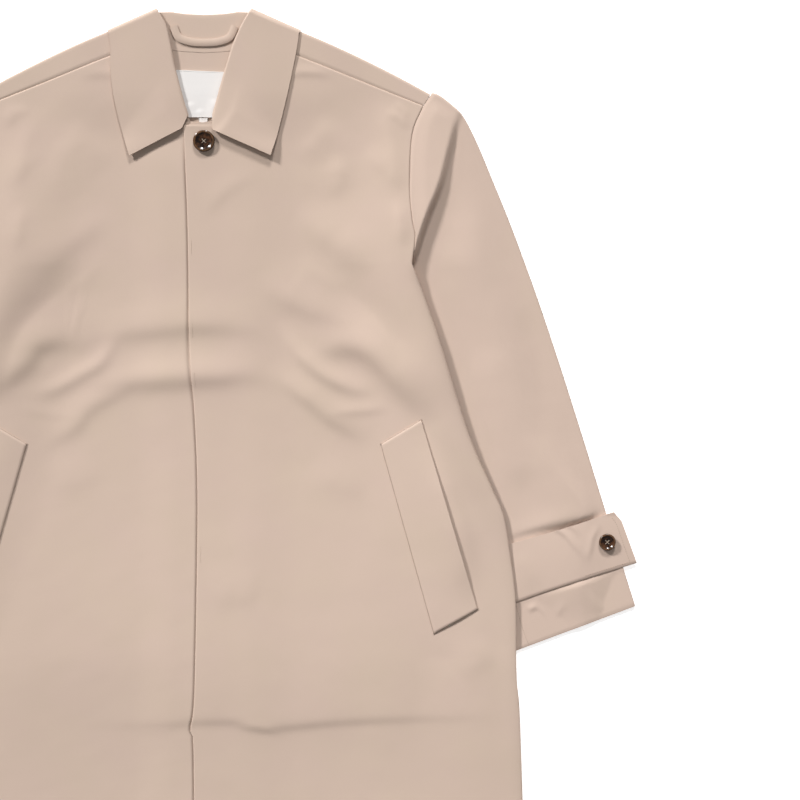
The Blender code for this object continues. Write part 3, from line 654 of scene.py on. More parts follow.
def stitch_tree():
    """Nodes that lay stitches of one size along the edge lines of a mesh, a little unevenly."""
    tree = bpy.data.node_groups.new("stitches", "GeometryNodeTree")
    for name, kind in STITCH_INPUTS.items():
        tree.interface.new_socket(name, in_out="INPUT", socket_type=f"NodeSocket{kind}")
    tree.interface.new_socket("Stitches", in_out="OUTPUT", socket_type="NodeSocketGeometry")
    given = tree.nodes.new("NodeGroupInput").outputs
    sockets = (Value(tree, given[name]) for name in STITCH_INPUTS)
    lines, pitch, length, thickness, wander, seed, thread = sockets
    curve = Value.node(tree, "GeometryNodeMeshToCurve", {}, {"Mesh": lines})
    spots = Value.node(
        tree, "GeometryNodeResampleCurve", {"mode": "LENGTH"}, {"Curve": curve, "Length": pitch}
    )
    least = tuple(-most for most in STITCH_SWAY)
    chance = Value.node(
        tree, "FunctionNodeRandomValue", {"data_type": "FLOAT_VECTOR"},
        {0: least, 1: STITCH_SWAY, "Seed": seed},
    )
    shift = Value.node(tree, "ShaderNodeVectorMath", {"operation": "SCALE"}, {0: chance, "Scale": wander})
    moved = Value.node(tree, "GeometryNodeSetPosition", {}, {"Geometry": spots, "Offset": shift})
    run = Value.node(tree, "GeometryNodeInputTangent", {}, {})
    turned = Value.node(tree, "FunctionNodeAlignRotationToVector", {"axis": "X"}, {"Vector": run})
    bead = Value.node(tree, "GeometryNodeMeshUVSphere", {}, STITCH_BEAD)
    size = Value.node(tree, "ShaderNodeCombineXYZ", {}, {"X": length, "Y": thickness, "Z": thickness})
    placed = Value.node(
        tree, "GeometryNodeInstanceOnPoints", {},
        {"Points": moved, "Instance": bead, "Rotation": turned, "Scale": size},
    )
    real = Value.node(tree, "GeometryNodeRealizeInstances", {}, {"Geometry": placed})
    painted = Value.node(tree, "GeometryNodeSetMaterial", {}, {"Geometry": real, "Material": thread})
    feed(tree.nodes.new("NodeGroupOutput"), {"Stitches": painted})
    return tree


THREAD_FIBRES = {"Scale": 1800.0, "Detail": 2.0}
THREAD_ROUGH = 0.60
FIBRE_ROUGH = 0.25
THREAD_SHEEN = 0.2


def thread_finish(name, colour, shade):
    """Spun thread: matte, with paler and darker lengths."""
    material, tree, shader = new_finish(name)
    place = Value.node(tree, "ShaderNodeTexCoord", {}, {}, output=3)
    fibres = Value.node(tree, "ShaderNodeTexNoise", {}, {"Vector": place, **THREAD_FIBRES})
    rough = THREAD_ROUGH + fibres * FIBRE_ROUGH
    colour = blended(colour, shade, fibres)
    feed(shader, {"Base Color": colour, "Roughness": rough, "Sheen Weight": THREAD_SHEEN})
    return material


SEAM_STITCH = {"Pitch": 0.0026, "Length": 0.0023, "Thickness": 0.00055, "Wander": 0.00008}
BAR_STITCH = {"Pitch": 0.0007, "Length": 0.0012, "Thickness": 0.00050, "Wander": 0.00022}
stitches = stitch_tree()
white_thread = thread_finish("white_thread", (0.85, 0.84, 0.81, 1.0), (0.66, 0.64, 0.60, 1.0))


def add_stitches(name, rows, sizes, thread, seed):
    """Stitches along rows of points, as one piece that lies on the cloth."""
    mesh = bpy.data.meshes.new(name)
    edges, start = [], 0
    for row in rows:
        edges += [(start + here, start + here + 1) for here in range(len(row) - 1)]
        start += len(row)
    mesh.from_pydata(in_scene(np.vstack(rows)), edges, [])
    piece = add_object(name, mesh)
    sewing = piece.modifiers.new("sewing", "NODES")
    sewing.node_group = stitches
    given = {**sizes, "Seed": seed, "Thread": thread}
    for item in stitches.interface.items_tree:
        if item.name in given:
            sewing[item.identifier] = given[item.name]
    made_plain(piece)
    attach(piece, "root")
    return piece


label_ribbon = label_finish()
for name, corners, cells, flat in (
    ("label_main", LABEL, 48, (0.059, 0.053)),
    ("label_size", SIZE_LABEL, 10, (0.010, 0.0112)),
):
    places = quad_grid(corners, cells, cells)
    height = back_level(places[..., 0], places[..., 1]) + CLOTH / 2 + LAY_GAP + LABEL_CLOTH / 2
    height = height + relief(LABEL_CREASES, places[..., 0], places[..., 1])
    points = np.dstack([places, height])
    label = add_shell(f"{name}_ribbon", points, LABEL_CLOTH, label_ribbon)
    top_row = points[LABEL_ROW] + (0.0, 0.0, LABEL_CLOTH / 2)
    sewn = add_stitches(f"{name}_stitches", [top_row], SEAM_STITCH, white_thread, seed=2)
    declare(label, name, points)


# Sleeves
# Each is one width of the same twill, sewn into a tube and set into the armhole, and lies flattened
# with its inner part under the body. A deep fold hangs from the shoulder, and the cuff is crumpled.

SLEEVE_HEIGHT = 0.0032
SLEEVE_PUFF = 0.0046
PUFF_FROM_EDGE = 0.018
PUFF_RUN = 0.060
PUFF_FROM_OUTER = 0.060
PUFF_BY_TAB = 0.024
TAB_END_UP = 0.455
TAB_END_RUN = 0.050
TAB_PRESS = 0.45
CAP_EDGE = (
    (0.2288, 0.7370), (0.2409, 0.7755), (0.2563, 0.8140),
    (0.2662, 0.8525), (0.2760, 0.8877), (0.2926, 0.9180),
)
CAP_START_RUN = 0.014
CAP_WALL = 0.0090
CAP_SWELL = 0.0020
CAP_SWELL_RUN = 0.020
CAP_FROM_OUTER = 0.026
CREASES_FROM_BODY = 0.006
ARMHOLE_BOW_SHARE = 0.4
SLEEVE_RINGS = 220
SLEEVE_COLUMNS = 104
SLEEVE_UNDER_STEP = 4
SLEEVE_LEAST = 0.0031
SLEEVE_SOFTNESS = 0.0008
CUFF_SETTLE = 0.0036
CUFF_SETTLE_RUN = 0.056
SLEEVE_TURN_STEPS = 8
SLEEVE_RIPPLE = 0.00030
CUFF_ROLL = 0.0030
CUFF_DROP = 0.0006
SLEEVE_CREASES = (
    Crease(((364, 688), (370, 622), (367, 556), (362, 501)), -1.0, 18, 26, 2.0),
    Crease(((300, 640), (318, 585), (338, 520), (350, 470)), 1.2, 20, 18, 2.0),
    Crease(((270, 393), (320, 408), (370, 423), (400, 432), (430, 441), (455, 448), (540, 473)),
           -2.6, 8.5, 14, 2.0),
    Fall(((386, 322), (388, 334), (394, 345), (404, 356)), 0.12, 2.6, 8),
    Fall(((372, 316), (365, 326), (361, 336), (364, 348), (372, 356)), 0.36, 2.4, 6),
    Fall(((476, 350), (455, 347), (438, 352), (426, 364), (414, 378)), 0.10, 3.0, 9),
    Fall(((346, 338), (356, 345), (366, 346), (374, 338), (376, 326), (372, 314)), 0.36, 2.4, 6),
    Fall(((318, 420), (350, 430), (386, 441), (420, 452)), 0.34, 1.8, 16),
)
UNDERARM_SEAM = ((344, 350), (347, 338), (351, 325), (357, 309))
UNDERARM_SEAM_STEPS = 14
TAB_AXIS = ((0.3233, 0.3820), (0.4636, 0.4263))
TAB_HALF_WIDTH = 0.0315
TAB_PRESS_RUN = 0.004
TAB_PRESS_MARGIN = 0.0035
SLEEVE_ARMHOLE = (*ARMHOLE, SLEEVE_OUTER[0])
CREASE_CHANGE = 0.3

FRONT_LIFT_TO = 0.925
FRONT_LIFT_RUN = 0.190
FRONT_LIFT_FROM = 0.100
FRONT_LIFT_LOW_RUN = 0.190
SIDE_SWELL = 0.0064
SIDE_SWELL_FROM = 0.054
CHEST_SWELL_FROM = 0.120
CHEST_SWELL_UP = 0.640
CHEST_SWELL_RUN = 0.120
SWELL_FLAT = 0.014
SWELL_TO = 0.915
SWELL_TO_RUN = 0.230
SWELL_FROM = 0.380
SWELL_FROM_RUN = 0.190


def front_lift(across, up):
    """How far the sleeve's inner part raises a front, and puffs it up beside the armhole too."""
    above_cuff = ease((up - FRONT_LIFT_FROM) / FRONT_LIFT_LOW_RUN)
    below_top = ease((FRONT_LIFT_TO - up) / FRONT_LIFT_RUN)
    return SLEEVE_LIFT * on_sleeve(across, up) * above_cuff * below_top


def side_swell(from_edge, up):
    """How far a front bulges beside its side seam and the lower armhole, where it lies on the sleeve."""
    lengthways = ease((SWELL_TO - up) / SWELL_TO_RUN) * ease((up - SWELL_FROM) / SWELL_FROM_RUN)
    on_chest = ease((up - CHEST_SWELL_UP) / CHEST_SWELL_RUN)
    reach = between(SIDE_SWELL_FROM, CHEST_SWELL_FROM, on_chest)
    return SIDE_SWELL * lengthways * ease((reach - from_edge) / (reach - SWELL_FLAT))


def body_edge_at(up):
    """How far across the body's edge lies at this height: its side, then its armhole."""
    side, armhole = (along(marks, even(READING_STEPS)) for marks in (SIDE_EDGE, SLEEVE_ARMHOLE))
    return read_across(np.vstack([side, armhole[1:]]), up)


def under_tab(across, up):
    """1 where a cuff tab presses the sleeve flat, and 0 away from it."""
    start, end = (np.array(place) for place in TAB_AXIS)
    run = unit(end - start)
    aside = run[0] * (up - start[1]) - run[1] * (across - start[0])
    ahead = run[0] * (across - start[0]) + run[1] * (up - start[1])
    return ease((TAB_HALF_WIDTH + TAB_PRESS_MARGIN - np.abs(aside)) / TAB_PRESS_RUN) * (ahead > 0)


def cap_edge_at(up):
    """How far across the edge lies that hangs over the sleeve: the body's side, then the cap's fold."""
    lines = [along(marks, even(READING_STEPS)) for marks in (SIDE_EDGE, CAP_EDGE)]
    return read_across(np.vstack(lines), up)


def sleeve_base(across, up):
    """Height of a sleeve's upper side without its creases: low beside the body, high on the cap."""
    seam = body_edge_at(up)
    from_edge = across - cap_edge_at(up)
    from_outer = across_at(SLEEVE_OUTER, up) - across
    by_tab = np.exp(-((up - TAB_END_UP) / TAB_END_RUN) ** 2)
    outer_run = between(PUFF_FROM_OUTER, PUFF_BY_TAB, by_tab)
    puff = SLEEVE_PUFF * ease((from_edge - PUFF_FROM_EDGE) / PUFF_RUN) * ease(from_outer / outer_run)
    puff = puff * (1 - TAB_PRESS * under_tab(across, up))
    swell = front_lift(seam, up) + side_swell(0.0, up) + CAP_SWELL * ease((across - seam) / CAP_SWELL_RUN)
    cap = 2 * FOLD_RADIUS + CLOTH + swell * ease(from_outer / CAP_FROM_OUTER)
    on_cap = ease((up - NOTCH_UP) / CAP_START_RUN) * (1 - ease(from_edge / CAP_WALL))
    return between(SLEEVE_HEIGHT + puff, cap, on_cap)


def sleeve_top(across, up, creases, seed):
    """Height of a sleeve's upper side."""
    shown = ease((across - body_edge_at(up)) / CREASES_FROM_BODY)
    folds = relief(creases, across, up)
    folds = np.where(folds > 0, folds * (1 - under_tab(across, up)), folds)
    folds = folds + ripple(across, up, SLEEVE_RIPPLE, seed)
    height = sleeve_base(across, up) + folds * shown
    return not_below(height, SLEEVE_LEAST, SLEEVE_SOFTNESS)


def tube_edge(places, top, sideways, sign):
    """The rounded edge of a flattened tube. It starts from above it (sign 1) or from below it (-1)."""
    turns = math.pi * even(SLEEVE_TURN_STEPS)[1:-1]
    radius = top[:, None] / 2
    ring = places[:, None] + (sideways * radius)[:, None] * np.sin(turns)[:, None]
    return np.dstack([ring, radius * (1 + sign * np.cos(turns))])


def sleeve_points(creases, seed):
    """Outer side of a sleeve: rings from the armhole to the cuff, each round a flattened tube."""
    shares = even(SLEEVE_RINGS)
    outer = along(SLEEVE_OUTER, shares)
    inner = along(SLEEVE_INNER, shares)
    outer_side, inner_side = -outward(outer), outward(inner)
    over = even(SLEEVE_COLUMNS)
    armhole = along(SLEEVE_ARMHOLE, over)
    armhole += outward(armhole) * SEAM_GAP / 2
    outer[0], inner[0] = armhole[-1], armhole[0]
    over = over[None, :, None]
    bow = armhole - between(inner[0], outer[0], over)
    fading = np.maximum(0.0, 1.0 - shares / ARMHOLE_BOW_SHARE)[:, None, None] ** 2
    places = between(inner[:, None], outer[:, None], over) + bow * fading
    top = sleeve_top(places[..., 0], places[..., 1], creases, seed)
    from_cuff = np.linalg.norm(places - places[-1:], axis=-1)
    from_armhole = np.linalg.norm(places - places[:1], axis=-1)
    below_tab = 1 - under_tab(places[..., 0], places[..., 1])
    settle = CUFF_SETTLE * (1 - ease(from_cuff / CUFF_SETTLE_RUN)) * below_tab
    top = np.maximum(top - settle, SLEEVE_LEAST) - rolled_down(from_cuff, CUFF_ROLL, CUFF_DROP)
    top = top - rolled_down(from_armhole, SEAM_DIP_RUN, SEAM_DIP)
    return np.concatenate([
        np.dstack([places, top]),
        tube_edge(places[:, -1], top[:, -1], outer_side, 1),
        np.dstack([places, 0 * top])[:, ::-SLEEVE_UNDER_STEP],
        tube_edge(places[:, 0], top[:, 0], inner_side, -1),
    ], axis=1)


def tube_cut(points):
    """Map of a tube's flat cut: round it, and along it."""
    ring = np.concatenate([points, points[:, :1]], axis=1)
    return np.stack([run_along(ring, 1), run_along(ring, 0)], axis=-1)


def varied(creases, seed, shift, strength=1.0):
    """The same kind of creases on the coat's other side, in other places and sizes."""
    chance = np.random.default_rng(seed)
    made = []
    for crease in creases:
        moved = np.array(crease.path, float) + chance.normal(0.0, shift, (1, 2))
        moved += chance.normal(0.0, shift / 3, (len(crease.path), 2))
        size = 1.0 + chance.uniform(-CREASE_CHANGE, CREASE_CHANGE, 3)
        size[0] *= strength
        if isinstance(crease, Fall):
            made.append(Fall(moved, crease.slope * size[0], crease.band * size[1], crease.back * size[2]))
        else:
            left, right = np.array(crease.left) * size[1], np.array(crease.right) * size[2]
            made.append(Crease(moved, crease.height * size[0], left, right, crease.crisp))
    return made


sleeve_cloth = cloth_finish("sleeve_cloth", pink=0.75)
seam_thread = thread_finish("seam_thread", (0.46, 0.35, 0.27, 1.0), (0.34, 0.26, 0.19, 1.0))
seam_line = along(np.array(UNDERARM_SEAM) * MM, even(UNDERARM_SEAM_STEPS))
for side, sign, creases, seed in (
    ("left", 1, SLEEVE_CREASES, 5),
    ("right", -1, varied(SLEEVE_CREASES, seed=3, shift=4.0), 6),
):
    points = sleeve_points(creases, seed) * (sign, 1, 1)
    piece = add_shell(
        f"sleeve_{side}_cloth", points, CLOTH, sleeve_cloth, tube_cut(points), closed=True, inwards=True
    )
    seam_row = laid_on(surface_of(points, closed=True), (seam_line * (sign, 1))[None], 0.0)[0]
    sewn = add_stitches(f"sleeve_{side}_stitches", [seam_row], SEAM_STITCH, seam_thread, seed=17)
    declare(piece, f"sleeve_{side}", points, closed=True)


# Fronts
# Two panels of the same twill, buttoned behind a fly. The coat's left front lies over its right one,
# and both have been folded across the waist and the skirt, which has left creases in them.

LOWER_RISE = 0.0013
CHEST_RISE_FROM = 0.600
CHEST_RISE_RUN = 0.150
LAP = CLOTH + LAY_GAP
LAP_REACH = 0.105
LAP_RUN = 0.060
FLY_EDGE = (
    (-0.0100, 0.0000), (-0.0110, 0.1900), (-0.0143, 0.2145), (-0.0095, 0.2600),
    (-0.0066, 0.4565), (-0.0100, 0.5600), (-0.0154, 0.6325), (-0.0176, 0.7645),
    (-0.0220, 0.8790),
)
UNDER_EDGE = ((-0.0190, 0.0000), (-0.0190, 0.4500), (-0.0200, 0.8810))
SIDE_LIP = 0.0012
SIDE_DROP = 0.0015
SIDE_LIP_TOP = 0.727
SIDE_LIP_RUN = 0.030
SIDE_ROLL = 0.013
SIDE_SWELL_ROLL = 0.0040
SIDE_WALL = 0.0005
SIDE_WALL_FADE = 0.006
NOTCH_WALL_RUN = 0.030
FLY_RISE = 0.0005
FLY_RISE_RUN = 0.045
FLY_ROLL = 0.0010
FLY_DROP = 0.0005
FLY_GROOVE = 0.0018
FLY_GROOVE_START = 0.0005
FLY_GROOVE_RUN = 0.0026
FLY_GAPE = 0.7
FLY_GAPE_UP = 0.622
FLY_GAPE_RUN = 0.045
FRONT_RIPPLE = 0.00030
FRONT_LEAST = 0.0012
FRONT_SOFTNESS = 0.0008
FRONT_CLIMB_SHARE = 1 / 3
FRONT_NECK_SHARE = 4 / 9
NEAR_EDGE = (0.0, 0.5, 1.0, 1.5, 2.1, 2.9, 4.0, 5.5, 7.5, 10.0)
BESIDE_FLY = (-0.4, 0.3, 0.8, 1.3, 1.8, 2.3, 3.0, 4.0, 5.5, 8.0)
UNDER_FLY_COLUMNS = 7
FLY_LEAST = 0.003
SEAM_ROWS = (0.5, 1.0, 1.5, 2.1)
HEM_ROWS = (0.0, 0.6, 1.2, 2.0, 3.0)
# Rows below the underarm notch, rows above it, and columns between the edges
LEFT_GRID = (236, 66, 110)
RIGHT_GRID = (190, 54, 84)
ARMHOLE_LENGTH = 0.178

# Creases that run on under the fly, through both fronts
SHARED_CREASES = (
    Fall(((-150, 640), (-46, 650), (-20, 653), (12, 653), (40, 651), (90, 642)), 0.17, 9, 34),
    Fall(((-140, 588), (-46, 594), (-20, 596), (18, 597), (50, 599), (86, 588)), 0.24, 10, 26),
    Fall(((-160, 217), (-48, 220), (-19, 222), (31, 223), (57, 218), (80, 216), (144, 222), (227, 226),
          (304, 228), (352, 239)), 0.20, 4, 50),
    Crease(((-330, 300), (0, 296), (330, 306)), 6.5, 180, 105, 1.7),
)
LEFT_CREASES = (
    Fall(((50, 712), (74, 692), (92, 680), (120, 669), (172, 651)), 0.14, 10, 40),
    Fall(((74, 662), (92, 638), (106, 620), (128, 602), (160, 586), (196, 582)), 0.30, 7, 15),
    Fall(((112, 617), (138, 627), (158, 630), (176, 624), (196, 606), (218, 582), (248, 544)), 0.38, 11, 40),
    Fall(((64, 608), (90, 590), (117, 570), (141, 551), (186, 524)), 0.26, 7, 30),
    Fall(((130, 560), (163, 562), (212, 566)), 0.14, 4, 11),
    Fall(((94, 782), (128, 751), (150, 734), (184, 709)), 0.14, 13, 34),
    Fall(((-8, 772), (11, 789), (26, 804), (44, 814), (70, 823)), 0.10, 4, 16),
    Fall(((141, 896), (117, 864), (97, 842)), 0.08, 9, 24),
    Fall(((146, 790), (154, 824), (150, 852)), 0.08, 9, 24),
    Fall(((170, 846), (196, 828), (216, 800)), 0.10, 9, 20),
    Fall(((96, 738), (122, 712), (168, 690)), 0.06, 8, 20),
    Fall(((302, 362), (294, 423), (275, 480), (258, 520), (240, 556)), 0.22, 9, 30),
    Fall(((26, 220), (51, 216), (92, 210)), 0.16, 3, 6),
    Fall(((84, 934), (117, 935), (146, 931)), 0.22, 3, 8),
    Fall(((8, 346), (30, 356), (62, 350)), 0.05, 10, 30),
    Fall(((282, 268), (302, 284), (330, 300)), 0.06, 12, 30),
    Fall(((110, 500), (150, 478), (186, 470)), 0.05, 12, 30),
    Fall(((188, 914), (196, 880), (204, 846), (206, 806)), 0.10, 8, 16),
    Fall(((206, 800), (212, 772), (216, 742)), 0.14, 7, 12),
    Fall(((120, 890), (138, 862), (146, 830), (140, 796)), 0.07, 10, 22),
    Fall(((196, 892), (212, 886), (226, 872)), 0.16, 4, 8),
    Fall(((206, 902), (216, 896), (224, 884)), 0.16, 3, 6),
)


def front_level(across, up, over):
    """Middle of a front's wall before its creases. The front that lies over is raised at the fly."""
    upper_rise = 2 * FOLD_RADIUS - CLOTH - LAY_GAP
    chest = ease((up - CHEST_RISE_FROM) / CHEST_RISE_RUN)
    rise = between(LOWER_RISE, upper_rise, chest)
    lap = LAP * ease((LAP_REACH - across) / LAP_RUN) if over else 0.0
    return CLOTH / 2 + neck_lift(across, up) + front_lift(across, up) + CLOTH + LAY_GAP + rise + lap


def beside_fly(across, up):
    """How far a place of the front that lies under is from the fly edge over it, where it shows."""
    return across + across_at(FLY_EDGE, up)


def column_shares(inner, outer, count, under_fly):
    """Shares of each row's width at which a front has points, closest near its edges and the fly."""
    width = np.linalg.norm(outer - inner, axis=1)[:, None]
    near = np.array(NEAR_EDGE) * MM + 0 * width
    first = near
    if under_fly:
        fly = np.maximum(-beside_fly(inner[:, 0], inner[:, 1]), FLY_LEAST)[:, None]
        by_fly = fly + np.array(BESIDE_FLY) * MM
        first = np.hstack([by_fly[:, :1] * even(UNDER_FLY_COLUMNS)[:-1], by_fly])
    last = width - near[:, ::-1]
    middle = even(count)[1:-1]
    return np.hstack([first, between(first[:, -1:], last[:, :1], middle), last]) / width


def front_places(fly_edge, neck, grid, under_fly):
    """Places of a front's points: rows from its fly edge and neck to its side and armhole."""
    rows_low, rows_high, columns = grid
    hem = np.array(HEM_ROWS) * MM
    low = np.concatenate([hem, np.linspace(hem[-1], NOTCH_UP, rows_low + 1)[1:]])
    corner = np.array(fly_edge[-1])
    shares = even(rows_high)[1:]
    shares = np.sort(np.append(shares, 1.0 - np.array(SEAM_ROWS) * MM / ARMHOLE_LENGTH))
    climb = NOTCH_UP + (corner[1] - NOTCH_UP) * np.clip(shares / FRONT_CLIMB_SHARE, 0, 1)
    up_fly = np.stack([across_at(fly_edge, climb), climb], axis=-1)
    to_neck = (shares - FRONT_CLIMB_SHARE) / (FRONT_NECK_SHARE - FRONT_CLIMB_SHARE)
    over_top = between(corner, neck[0], np.clip(to_neck, 0, 1)[:, None])
    round_neck = along(neck, np.clip((shares - FRONT_NECK_SHARE) / (1 - FRONT_NECK_SHARE), 0, 1))
    inner_high = np.where(shares[:, None] < FRONT_CLIMB_SHARE, up_fly, over_top)
    inner_high = np.where(shares[:, None] > FRONT_NECK_SHARE, round_neck, inner_high)
    armhole = along(ARMHOLE, shares)
    armhole -= outward(armhole) * SEAM_GAP / 2
    inner = np.vstack([np.stack([across_at(fly_edge, low), low], axis=-1), inner_high])
    outer = np.vstack([np.stack([across_at(SIDE_EDGE, low), low], axis=-1), armhole])
    over = column_shares(inner, outer, columns, under_fly)[..., None]
    return between(inner[:, None], outer[:, None], over)


def front_points(places, over, creases, side, seed):
    """Middle of a front's wall, with its creases and its turned edges. Side is 1 or, mirrored, -1."""
    across, up = places[..., 0], places[..., 1]
    from_inner = np.linalg.norm(places - places[:, :1], axis=-1)
    from_outer = np.linalg.norm(places - places[:, -1:], axis=-1)
    from_seam = np.linalg.norm(places - places[-1:], axis=-1)
    level = front_level(across, up, over)
    height = level + relief(SHARED_CREASES, across * side, up)
    height = height + relief(creases, across, up) + ripple(across, up, FRONT_RIPPLE, seed)
    height = not_below(height, level - FRONT_LEAST, FRONT_SOFTNESS)
    low_side = ease((SIDE_LIP_TOP - up) / SIDE_LIP_RUN)
    swell = side_swell(from_outer, up)
    height = height + swell
    side_drop = (SIDE_DROP + SIDE_SWELL_ROLL * swell / SIDE_SWELL) * low_side
    height = height - rolled_down(from_outer, SIDE_ROLL, side_drop)
    sewn = level - front_lift(across, up) + sleeve_lift(across, up) - SIDE_DROP
    by_notch = ease((up - RECESS_UP) / NOTCH_WALL_RUN + 1.0)
    sewn = between(sewn, SLEEVE_HEIGHT + LAY_GAP + CLOTH / 2, by_notch)
    below_cap = ease((NOTCH_UP + CAP_START_RUN - up) / SIDE_WALL_FADE)
    wall = below_cap * (1 - np.clip(from_outer / SIDE_WALL, 0.0, 1.0))
    height = between(height, sewn, wall)
    height = height - rolled_down(from_outer, SEAM_DIP_RUN, SEAM_DIP * (1 - low_side))
    height = height - rolled_down(from_seam, SEAM_DIP_RUN, SEAM_DIP) - rolled_down(up, HEM_ROLL, HEM_DROP)
    if over:
        beside_neck = ease((up - FLY_EDGE[-1][1]) / FLY_ROLL)
        height = height + FLY_RISE * ease((FLY_RISE_RUN - from_inner) / FLY_RISE_RUN) * (1 - beside_neck)
        height = height - rolled_down(from_inner, FLY_ROLL, FLY_DROP * (1 - beside_neck))
    else:
        gape = 1 + FLY_GAPE * np.exp(-((up - FLY_GAPE_UP) / FLY_GAPE_RUN) ** 2)
        past_fly = beside_fly(across, up)
        groove = ease((past_fly / gape - FLY_GROOVE_START) / FLY_GROOVE_RUN)
        groove = groove * (1 - ease((past_fly - FLY_RISE_RUN / 2) / FLY_RISE_RUN))
        height = height + FLY_GROOVE * groove * ease((FLY_EDGE[-1][1] - up) / FLY_RISE_RUN)
    points = np.dstack([places, height])
    points[..., 0] += SIDE_LIP * low_side * ease((SIDE_ROLL - from_outer) / SIDE_ROLL)
    return raise_hem(points) * (side, 1, 1)


COLLAR_NECK = (
    (0.0070, 0.8845), (0.0300, 0.8905), (0.0540, 0.9080), (0.0660, 0.9290),
    (0.0730, 0.9480), (0.0775, 0.9660), SHOULDER_NECK,
)
COLLAR_NECK_ROWS = 6
FLY_CLEAR = 45
RIGHT_LEAF_SHIFT = (0.0080, 0.0080, 0.0080, 0.0070, 0.0040, 0.0000, 0.0000)


def shifted(line, shifts):
    """A line of the collar moved across by these amounts."""
    return np.array(line) + np.column_stack([shifts, np.zeros(len(shifts))])


def neck_seam(neck):
    """The line where a front is sewn to the collar."""
    return (neck + outward(neck) * SEAM_GAP)[:COLLAR_NECK_ROWS]


left_seam = neck_seam(np.array(COLLAR_NECK))
right_seam = neck_seam(shifted(COLLAR_NECK, RIGHT_LEAF_SHIFT))
right_creases = varied(LEFT_CREASES, seed=8, shift=7.0, strength=0.65)
clear_of_fly = [crease for crease in right_creases if crease.path[:, 0].min() > FLY_CLEAR]
left_places = front_places(FLY_EDGE, left_seam, LEFT_GRID, under_fly=False)
right_places = front_places(UNDER_EDGE, right_seam, RIGHT_GRID, under_fly=True)
left_points = front_points(left_places, True, LEFT_CREASES, side=1, seed=21)
right_points = front_points(right_places, False, clear_of_fly, side=-1, seed=22)
front_left = add_shell("front_left_cloth", left_points, CLOTH, body_cloth)
front_right = add_shell("front_right_cloth", right_points, CLOTH, body_cloth)
left_surface = surface_of(left_points)
right_surface = surface_of(right_points)

HEM_ROW = 0.032
HEM_ROW_ENDS = (0.012, 0.338)
BAR_FROM_EDGE = 0.0035
BAR_LENGTH = 0.016
BARS_UP = (0.400, 0.592, 0.646, 0.738)
ROW_STEP = 0.004


def row_on(surface, start, end):
    """Points of a straight row of stitches on a front's outer side."""
    start, end = np.array(start), np.array(end)
    share = even(1 + int(np.linalg.norm(end - start) / ROW_STEP))[:, None]
    return laid_on(surface, between(start, end, share)[None], CLOTH / 2)[0]


def bar_end(up):
    """A place beside the fly edge of the front that lies over."""
    return float(across_at(FLY_EDGE, up)) + BAR_FROM_EDGE, up


bar_thread = thread_finish("bar_thread", (0.55, 0.43, 0.34, 1.0), (0.49, 0.38, 0.30, 1.0))
left_hem = row_on(left_surface, (HEM_ROW_ENDS[0], HEM_ROW), (HEM_ROW_ENDS[1], HEM_ROW))
right_hem = row_on(right_surface, (-2 * HEM_ROW_ENDS[0], HEM_ROW), (-HEM_ROW_ENDS[1], HEM_ROW))
bars = [row_on(left_surface, bar_end(up), bar_end(up + BAR_LENGTH)) for up in BARS_UP]
left_sewing = [
    add_stitches("front_left_hem_stitches", [left_hem], SEAM_STITCH, seam_thread, seed=11),
    add_stitches("front_left_bar_stitches", bars, BAR_STITCH, bar_thread, seed=12),
]
right_sewing = [add_stitches("front_right_hem_stitches", [right_hem], SEAM_STITCH, seam_thread, seed=13)]
declare(front_left, "front_left", left_points)
declare(front_right, "front_right", right_points)


# Collar
# A turned-down collar of two layers of the twill, cut in one with its stand and sewn round the neck.
# Its leaves stand a little off the fronts, and its back half lies under the back.

COLLAR_ROLL = (
    (0.0100, 0.8895), (0.0150, 0.9050), (0.0205, 0.9250), (0.0270, 0.9470),
    (0.0340, 0.9690), (0.0430, 0.9890), (0.0515, 1.0037),
)
COLLAR_EDGE = (
    (0.0737, 0.8459), (0.0805, 0.8680), (0.0870, 0.8930), (0.0930, 0.9180),
    (0.0985, 0.9440), (0.1025, 0.9650), (0.1045, 0.9802),
)
BACK_ROLL = ((0.0380, 1.0040), (0.0200, 1.0015), (0.0000, 1.0005))
BACK_EDGE = ((0.0960, 0.9580), (0.0560, 0.9430), (0.0000, 0.9385))
LEAF_CORNER = (0.0090, 0.8745)
RIGHT_LEAF_CORNER = (0.0240, 0.8760)
COLLAR_TURN = 0.0021
LEAF_LOFT = 0.0006
BEND_SHARE = -0.2
BEND_START = 0.12
BEND_STEPS = 8
LEAF_FRONT_LIFT = 0.0044
RIGHT_LEAF_FRONT_LIFT = 0.0024
LEAF_CURL_ROWS = 3.0
LEAF_CURL_LESS = 1.7
LEAF_CURL_SHARE = 0.3
LEAF_START_SHARE = 0.2
LEAF_EDGE_LIFT = 0.0007
LEAF_SETTLES_OVER = 3
COLLAR_STEPS = 12
STAND_STEPS = 9
COLLAR_TURN_STEPS = 9
LEAF_POINTS = 34


